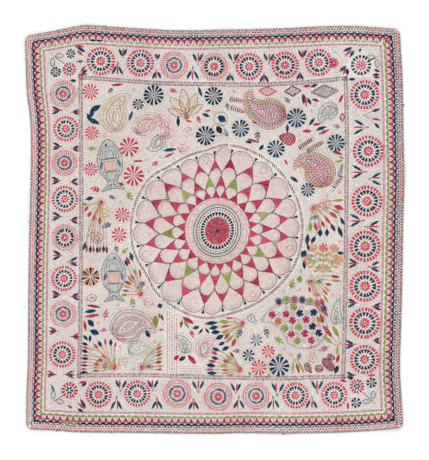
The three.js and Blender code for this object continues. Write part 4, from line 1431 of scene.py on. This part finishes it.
def sewOddments():
    for k, (x, thread) in enumerate(oddments["bandRows"]):
        path = pairs(np.full(40, x), np.linspace(-316, -178 - 4 * k, 40))
        runLine(thread, path, 5.2, width=3.0, shift=0.5 * (k % 2), tone=0.1)
    takeUp(oddments["bandRoom"])
    for k, (y, thread) in enumerate(oddments["stripRows"]):
        path = pairs(np.linspace(-78, -30 + 2 * k, 20), np.full(20, y))
        runLine(thread, path, 5.2, width=3.0, shift=0.5 * (k % 2), tone=0.1)
    takeUp(oddments["stripRoom"])
    bud = smooth(oddments["bud"])
    fillShape("madder", bud, slant=0.4, gap=1.15, reach=6, tone=0.3)
    for off in (-9, -3, 3, 9):
        for lean in (-8, 8):
            check = [(161 + off - lean, 187), (161 + off + lean, 211)]
            runLine("cream", check, 5.0, 0.7, 1.5, lift=0.4, within=bud, tone=0.7)
    for x, y, radius, thread, turn in oddments["drops"]:
        drawShape("ink", circle(x, y, radius, 30), width=1.4)
        leaf(thread, x + 2, y, radius * 1.4, radius * 0.9, turn, 0.15)
    for x, y, long, wide, turn, mix in oddments["ripeBuds"]:
        turn = math.radians(turn)
        shape = circle(x, y, long / 2, 24, wide / 2, turn)
        fillShape(mix, shape, turn, gap=1.4, reach=6)
        drawShape("wine", shape, width=2.0, lift=0.2, tone=0.1)

# Small fillers where the field is still bare: the room each needs and what is sewn there
fillers = {
    "kinds": [(22, "kalka"), (16, "kalka"), (12, "sprig"), (9, "sprig"), (7, "rings")],
    "low": (-284, -314), "high": (280, 318), "tries": 1500, "fromFrame": -5,
    "kalkas": (coat, shell, straw, shell, dusk),
    "stalks": ("wine", "ink"),
    "sprigs": ("steel", "blush", "rose", "lilac", "lime"),
    # leaves of a sprig: lean, place along the stalk
    "sprigLeaves": [(0, 0.55), (42, 0.1), (-42, 0.1), (46, -0.4), (-46, -0.4)],
    "rings": (("steel", "mist"), ("blush", "rose")),
}

def sewFiller(kind, k, x, y, reach, turn):
    out = heading(turn)
    if kind == "kalka":
        x, y = x + 0.2 * reach * out[1], y - 0.2 * reach * out[0]
        sewKalka(x, y, reach * 0.6, 2.6, turn, k % 2 == 0, 1.7, fillers["kalkas"][k % 5])
    elif kind == "sprig":
        stalk = [(x, y) - out * reach * 0.9, (x, y) + out * reach * 0.4]
        drawLine(fillers["stalks"][k % 2], stalk, width=1.4, tone=0.5)
        for lean, at in fillers["sprigLeaves"]:
            middle = (x, y) + out * reach * at + reach * 0.36 * heading(turn + lean)
            leaf(fillers["sprigs"][k % 5], *middle, reach * 0.78, reach * 0.34, turn + lean, 0.35)
    else:
        for radius in (2.2, 5.0):
            path = circle(x, y, radius * reach / 8, 24)
            runLine(fillers["rings"][k % 2], path, share=0.7, width=2.0, closed=True)
        takeUp(circle(x, y, reach * 0.8))

def sewFillers():
    placed = np.empty((0, 3))  # x, y and room of those already sewn
    for reach, kind in fillers["kinds"]:
        for k, (x, y) in enumerate(rng.uniform(fillers["low"], fillers["high"], (fillers["tries"], 2))):
            spots = np.vstack([circle(x, y, reach * share, 20) for share in (1.0, 0.7, 0.4, 0.1)])
            near = np.hypot(placed[:, 0] - x, placed[:, 1] - y) < placed[:, 2] + reach
            outside = beyondFrame(*spots.T) > fillers["fromFrame"]
            if near.any() or outside.any() or isTaken(spots).any():
                continue
            placed = np.vstack([placed, (x, y, reach)])
            sewFiller(kind, k, x, y, reach, rng.uniform(0, 360))

# Loose thread ends: side, place along it, then how far each end runs along and out
looseEnds = [
    ("right", 278, [(3, 5), (-3, 4)]), ("bottom", 152, [(2, 5), (6, 3), (-3, 4)]), ("bottom", -230, [(4, 3)]),
    ("bottom", -349, [(-3, 4), (3, 3)]), ("left", 22, [(4, 4)]), ("top", -240, [(5, 3), (-2, 3)]),
]

def sewLooseEnds():
    for side, at, ends in looseEnds:
        for along, out in ends:
            sewSide(("slate", "indigo"), side, at, 1.5, at + along, -out, width=1.5, lift=-1.0, tone=0.2)

def sewField():
    sewAll(sewKalka, kalkas)
    sewTrellis()
    sewAll(sewFish, fish["spots"])
    sewBloom()
    sewAll(sewLozenge, lozenges)
    sewAll(sewFrond, fronds)
    sewBush()
    sewOddments()
    sewAll(sewWheel, wheels)
    sewAll(sewFan, fans)
    sewAll(leaf, leaves)
    sewFillers()

# The ground's running stitch: rounds about the lotus in the field, rows along the border
ground = {
    "gap": 3.5, "pitch": 4.9, "share": 0.6, "width": 1.7, "height": 0.42, "tone": 0.5, "fromFrame": 5,
    "field": {"from": 195.5, "to": 450, "threads": ("mist", "dove", "mist", "dove", "dove", "mist", "blush")},
    "border": {"from": 47.5, "to": 118, "threads": ("mist", "dove", "mist", "lilac", "mist", "blush")},
}
groundRows = {}  # both ends of each thread's stitches

def layGround(start, end, keep, palette):
    keep = keep & ~isTaken((start + end) / 2) & ~isTaken(start) & ~isTaken(end)
    start, end = start[keep], end[keep]
    pick = rng.integers(0, len(palette), len(start))
    for k, thread in enumerate(palette):
        part = pick == k
        if part.any():
            groundRows.setdefault(thread, []).append((start[part], end[part]))

def sewGround():
    pitch, stitch, room = ground["pitch"], ground["share"] * ground["pitch"], ground["fromFrame"]
    field, belt = ground["field"], ground["border"]
    for k, radius in enumerate(np.arange(field["from"], field["to"], ground["gap"])):
        begin = np.arange(0, tau, pitch / radius) + rng.uniform(0, 0.02)
        wavy = radius + 1.2 * np.sin(9 * begin + k * 0.4)
        start, end = polar(wavy, begin), polar(wavy, begin + stitch / radius)
        layGround(start, end, beyondFrame(*start.T) < -room, field["threads"])
    for side, half in sides.items():
        for inset in np.arange(belt["from"], belt["to"], ground["gap"]):
            at = np.arange(-(half - inset), half - inset, pitch) + rng.uniform(0, 2)
            wavy = inset + 0.6 * np.sin(at * 0.05)
            start, end = onSide(side, at, wavy), onSide(side, at + stitch, wavy)
            layGround(start, end, beyondFrame(*start.T) > room, belt["threads"])

sewBorder()
sewBorderMotifs()
sewFrame()
sewLotus()
sewField()
sewLooseEnds()
print("motifs:", sum(len(r) for rows in stitches.values() for r in rows), "stitches")
sewGround()
print("ground:", sum(len(start) for rows in groundRows.values() for start, _ in rows), "stitches")

# Geometry Nodes: one small form on every point, turned along its thread
def newStitchGroup(name, inputs):
    return newGroup(name, "GeometryNodeTree", [("Geometry", "Geometry"), *inputs, ("Thread", "Material")],
                    [("Geometry", "Geometry")])

def addNamed(tree, name):
    node = addNode(tree, "GeometryNodeInputNamedAttribute", [("Name", name)], data_type="FLOAT_VECTOR")
    return node.outputs[0]

def addAim(tree):
    return addNode(tree, "FunctionNodeAxesToRotation", [(0, addNamed(tree, "aim")), (1, (0, 0, 1))],
                   primary_axis="X", secondary_axis="Z").outputs[0]

def addTurned(tree, shape, rotation):  # smooth shading, then a turn
    soft = addNode(tree, "GeometryNodeSetShadeSmooth", [(0, shape)])
    turned = addNode(tree, "GeometryNodeTransform", [("Geometry", soft.outputs[0]), ("Rotation", rotation)])
    return turned.outputs[0]

def spreadOnPoints(tree, given, result, form, rotation):
    spread = addNode(tree, "GeometryNodeInstanceOnPoints",
                     [("Points", given["Geometry"]), ("Instance", form), ("Rotation", rotation),
                      ("Scale", addNamed(tree, "girth"))])
    real = addNode(tree, "GeometryNodeRealizeInstances", [(0, spread.outputs[0])])
    finished = addNode(tree, "GeometryNodeSetMaterial",
                       [("Geometry", real.outputs[0]), ("Material", given["Thread"])])
    tree.links.new(finished.outputs[0], result[0])

def makeStitchTree():
    tree, given, result = newStitchGroup("laidStitches", [("Sides", "Int", 3), ("Rings", "Int", 3),
                                                          ("Wander", "Float", 0.05), ("Seed", "Int", 5)])
    grain = addNode(tree, "GeometryNodeMeshUVSphere",
                    [("Segments", given["Sides"]), ("Rings", given["Rings"]), ("Radius", 0.5)])
    strand = addNode(tree, "GeometryNodeStoreNamedAttribute",
                     [("Geometry", grain.outputs["Mesh"]), ("Name", "strand"),
                      ("Value", grain.outputs["UV Map"])], data_type="FLOAT_VECTOR", domain="CORNER")
    lying = addTurned(tree, strand.outputs[0], (0, -math.pi / 2, 0))
    low = addMath(tree, "MULTIPLY", given["Wander"], -1.0)
    limits = [(2, low), (3, given["Wander"])]
    sway = addNode(tree, "FunctionNodeRandomValue", [*limits, ("Seed", given["Seed"])], data_type="FLOAT")
    swing = addNode(tree, "ShaderNodeCombineXYZ", [("Z", sway.outputs[1])])
    swung = addNode(tree, "FunctionNodeRotateRotation", [(0, addAim(tree)), (1, swing.outputs[0])],
                    rotation_space="LOCAL")
    spreadOnPoints(tree, given, result, lying, swung.outputs[0])
    return tree

def growPiece(name, points, values, tree, settings):  # points with attributes, grown into a plain mesh
    mesh = bpy.data.meshes.new(name)
    mesh.from_pydata(points.tolist(), [], [])
    for key, value in values.items():
        kind, field = ("FLOAT", "value") if value.ndim == 1 else ("FLOAT_VECTOR", "vector")
        layer = mesh.attributes.new(key, kind, "POINT")
        layer.data.foreach_set(field, value.astype(np.float32).ravel())
    piece = bpy.data.objects.new(name, mesh)
    scene.collection.objects.link(piece)
    grower = piece.modifiers.new("grow", "NODES")
    grower.node_group = tree
    sockets = {s.name: s.identifier for s in tree.interface.items_tree if s.in_out == "INPUT"}
    for key, value in settings.items():
        grower[sockets[key]] = value
    graph = bpy.context.evaluated_depsgraph_get()
    evaluated = piece.evaluated_get(graph)
    grown = bpy.data.meshes.new_from_object(evaluated, preserve_all_data_layers=True, depsgraph=graph)
    piece.modifiers.clear()
    piece.data = grown
    grown.name = name
    bpy.data.meshes.remove(mesh)
    for key in ("aim", "girth"):
        if key in grown.attributes:
            grown.attributes.remove(grown.attributes[key])
    needlework.append(piece)
    print(name, len(grown.polygons), "faces")

# A stitch's form: threads in soft tones and the ground need fewer rings, and are widened for it
stitchForm = {"sides": 3, "rings": 3, "fewRings": 2, "widened": 1.2, "overlap": 1.06, "raised": 0.45,
              "simple": ("blush", "steel", "lilac", "peach", "mist", "dove", "cream")}

def layStitches(name, rows, material, simple):
    x0, y0, x1, y1, width, height, lift, shade = np.vstack(rows).T
    lift = lift + stitchForm["raised"] * height  # the widest part lies just on the cloth
    start = toMetres(x0, y0, riseAt(x0, y0) + thicknessAt(x0, y0) + lift)
    end = toMetres(x1, y1, riseAt(x1, y1) + thicknessAt(x1, y1) + lift)
    aim = end - start
    length = np.linalg.norm(aim, axis=1) * stitchForm["overlap"]
    width = width * (stitchForm["widened"] if simple else 1.0)
    girth = np.column_stack([length, width / 1000, height * 2 / 1000])
    rings = stitchForm["fewRings"] if simple else stitchForm["rings"]
    growPiece(name, (start + end) / 2, {"aim": aim, "girth": girth, "shade": shade}, stitchTree,
              {"Sides": stitchForm["sides"], "Rings": rings, "Thread": material})

stitchTree = makeStitchTree()
threadMaterial = {name: makeThread(name) for name in threads}
needlework = []
for name, rows in stitches.items():
    if rows:
        layStitches(name + "Stitches", rows, threadMaterial[name], name in stitchForm["simple"])
for name in sorted(groundRows):
    stitches[name] = []
    for start, end in groundRows[name]:
        sew(name, start, end, ground["width"], ground["height"], tone=ground["tone"])
    layStitches(name + "Ground", stitches[name], threadMaterial[name], True)

# Overcast rim: short loops of dark thread over the edge
overcast = {"pitch": 2.7, "reach": 4.6, "thread": 1.6, "height": 2.6, "above": 1.0, "inward": 0.38,
            "linePoints": 600}

def makeOvercastTree():
    tree, given, result = newStitchGroup(
        "overcastLoops", [("Sweep", "Float", 3.7), ("Thread Radius", "Float", 0.16), ("Steps", "Int", 5)])
    half = addMath(tree, "MULTIPLY", given["Sweep"], -0.5)
    arc = addNode(tree, "GeometryNodeCurveArc",
                  [("Resolution", given["Steps"]), ("Radius", 0.5), ("Start Angle", half),
                   ("Sweep Angle", given["Sweep"])])
    profile = addNode(tree, "GeometryNodeCurvePrimitiveCircle",
                      [("Resolution", 3), ("Radius", given["Thread Radius"])])
    tube = addNode(tree, "GeometryNodeCurveToMesh", [("Curve", arc.outputs["Curve"]), ("Fill Caps", True),
                                                     ("Profile Curve", profile.outputs["Curve"])])
    upright = addTurned(tree, tube.outputs[0], (math.pi / 2, 0, 0))
    spreadOnPoints(tree, given, result, upright, addAim(tree))
    return tree

def sewRim():
    across = np.linspace(-halfWidth, halfWidth, overcast["linePoints"])[:-1]
    along = np.linspace(-halfLength, halfLength, overcast["linePoints"])[:-1]
    full = np.ones_like(across)
    a = np.hstack([across, full * halfWidth, -across, full * -halfWidth])  # bottom, right, top, left
    b = np.hstack([full * -halfLength, along, full * halfLength, -along])
    path = np.column_stack(layOut(a, b))
    path = np.vstack([path, path[:1]])
    total = walk(path, [0])[1]
    count = int(total / overcast["pitch"])
    at = (np.arange(count) + rng.normal(0, 0.12, count)) * total / count
    spot, along = wayAlong(path, at, total, 1.5)
    out = -leftOf(along)
    lean = rng.normal(0.28, 0.15, count)[:, None]
    aim = np.column_stack([out + along * lean, np.zeros(count)])
    reach = overcast["reach"] * rng.uniform(0.8, 1.25, count)
    middle = spot - out * (reach * overcast["inward"])[:, None]
    points = toMetres(*middle.T, riseAt(*spot.T) + overcast["height"] / 2)
    thick, tall = overcast["thread"] * 3, overcast["height"] + overcast["above"]
    girth = np.column_stack([reach, np.full(count, thick), np.full(count, tall)]) / 1000
    shade = np.clip(rng.normal(0.35, 0.2, count), 0, 1)
    growPiece("overcastRim", points, {"aim": aim, "girth": girth, "shade": shade}, makeOvercastTree(),
              {"Thread": threadMaterial["teal"]})

sewRim()

# Floor, light and how the picture is shown
studio = {"floor": 12.0, "drop": -0.0012, "pale": 0.97, "roughness": 0.9, "sky": 0.85, "sun": 0.8,
          "softness": 30.0, "sunTilt": (-26, -20, 0)}
floorMaterial, _, floorShader = newMaterial("paleFloor", studio["roughness"])
floorShader.inputs["Base Color"].default_value = (*[studio["pale"]] * 3, 1)
floorCorners = [(studio["floor"] * x, studio["floor"] * y, studio["drop"])
                for x, y in ((-1, -1), (1, -1), (1, 1), (-1, 1))]
floor = newPiece("studioFloor", floorCorners, [(0, 1, 2, 3)], floorMaterial)
world = bpy.data.worlds.new("studioSky")
world.use_nodes = True
world.node_tree.nodes["Background"].inputs["Color"].default_value = (1, 1, 1, 1)
world.node_tree.nodes["Background"].inputs["Strength"].default_value = studio["sky"]
scene.world = world
sun = bpy.data.lights.new("windowLight", "SUN")
sun.energy = studio["sun"]
sun.angle = math.radians(studio["softness"])
window = bpy.data.objects.new("windowLight", sun)
window.rotation_euler = [math.radians(tilt) for tilt in studio["sunTilt"]]
scene.collection.objects.link(window)
scene.view_settings.view_transform = "Standard"
scene.view_settings.look = "None"
print("studio ready")

# What moves with what
for piece in [cloth, *needlework]:
    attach(piece, "root")
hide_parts("quilt")
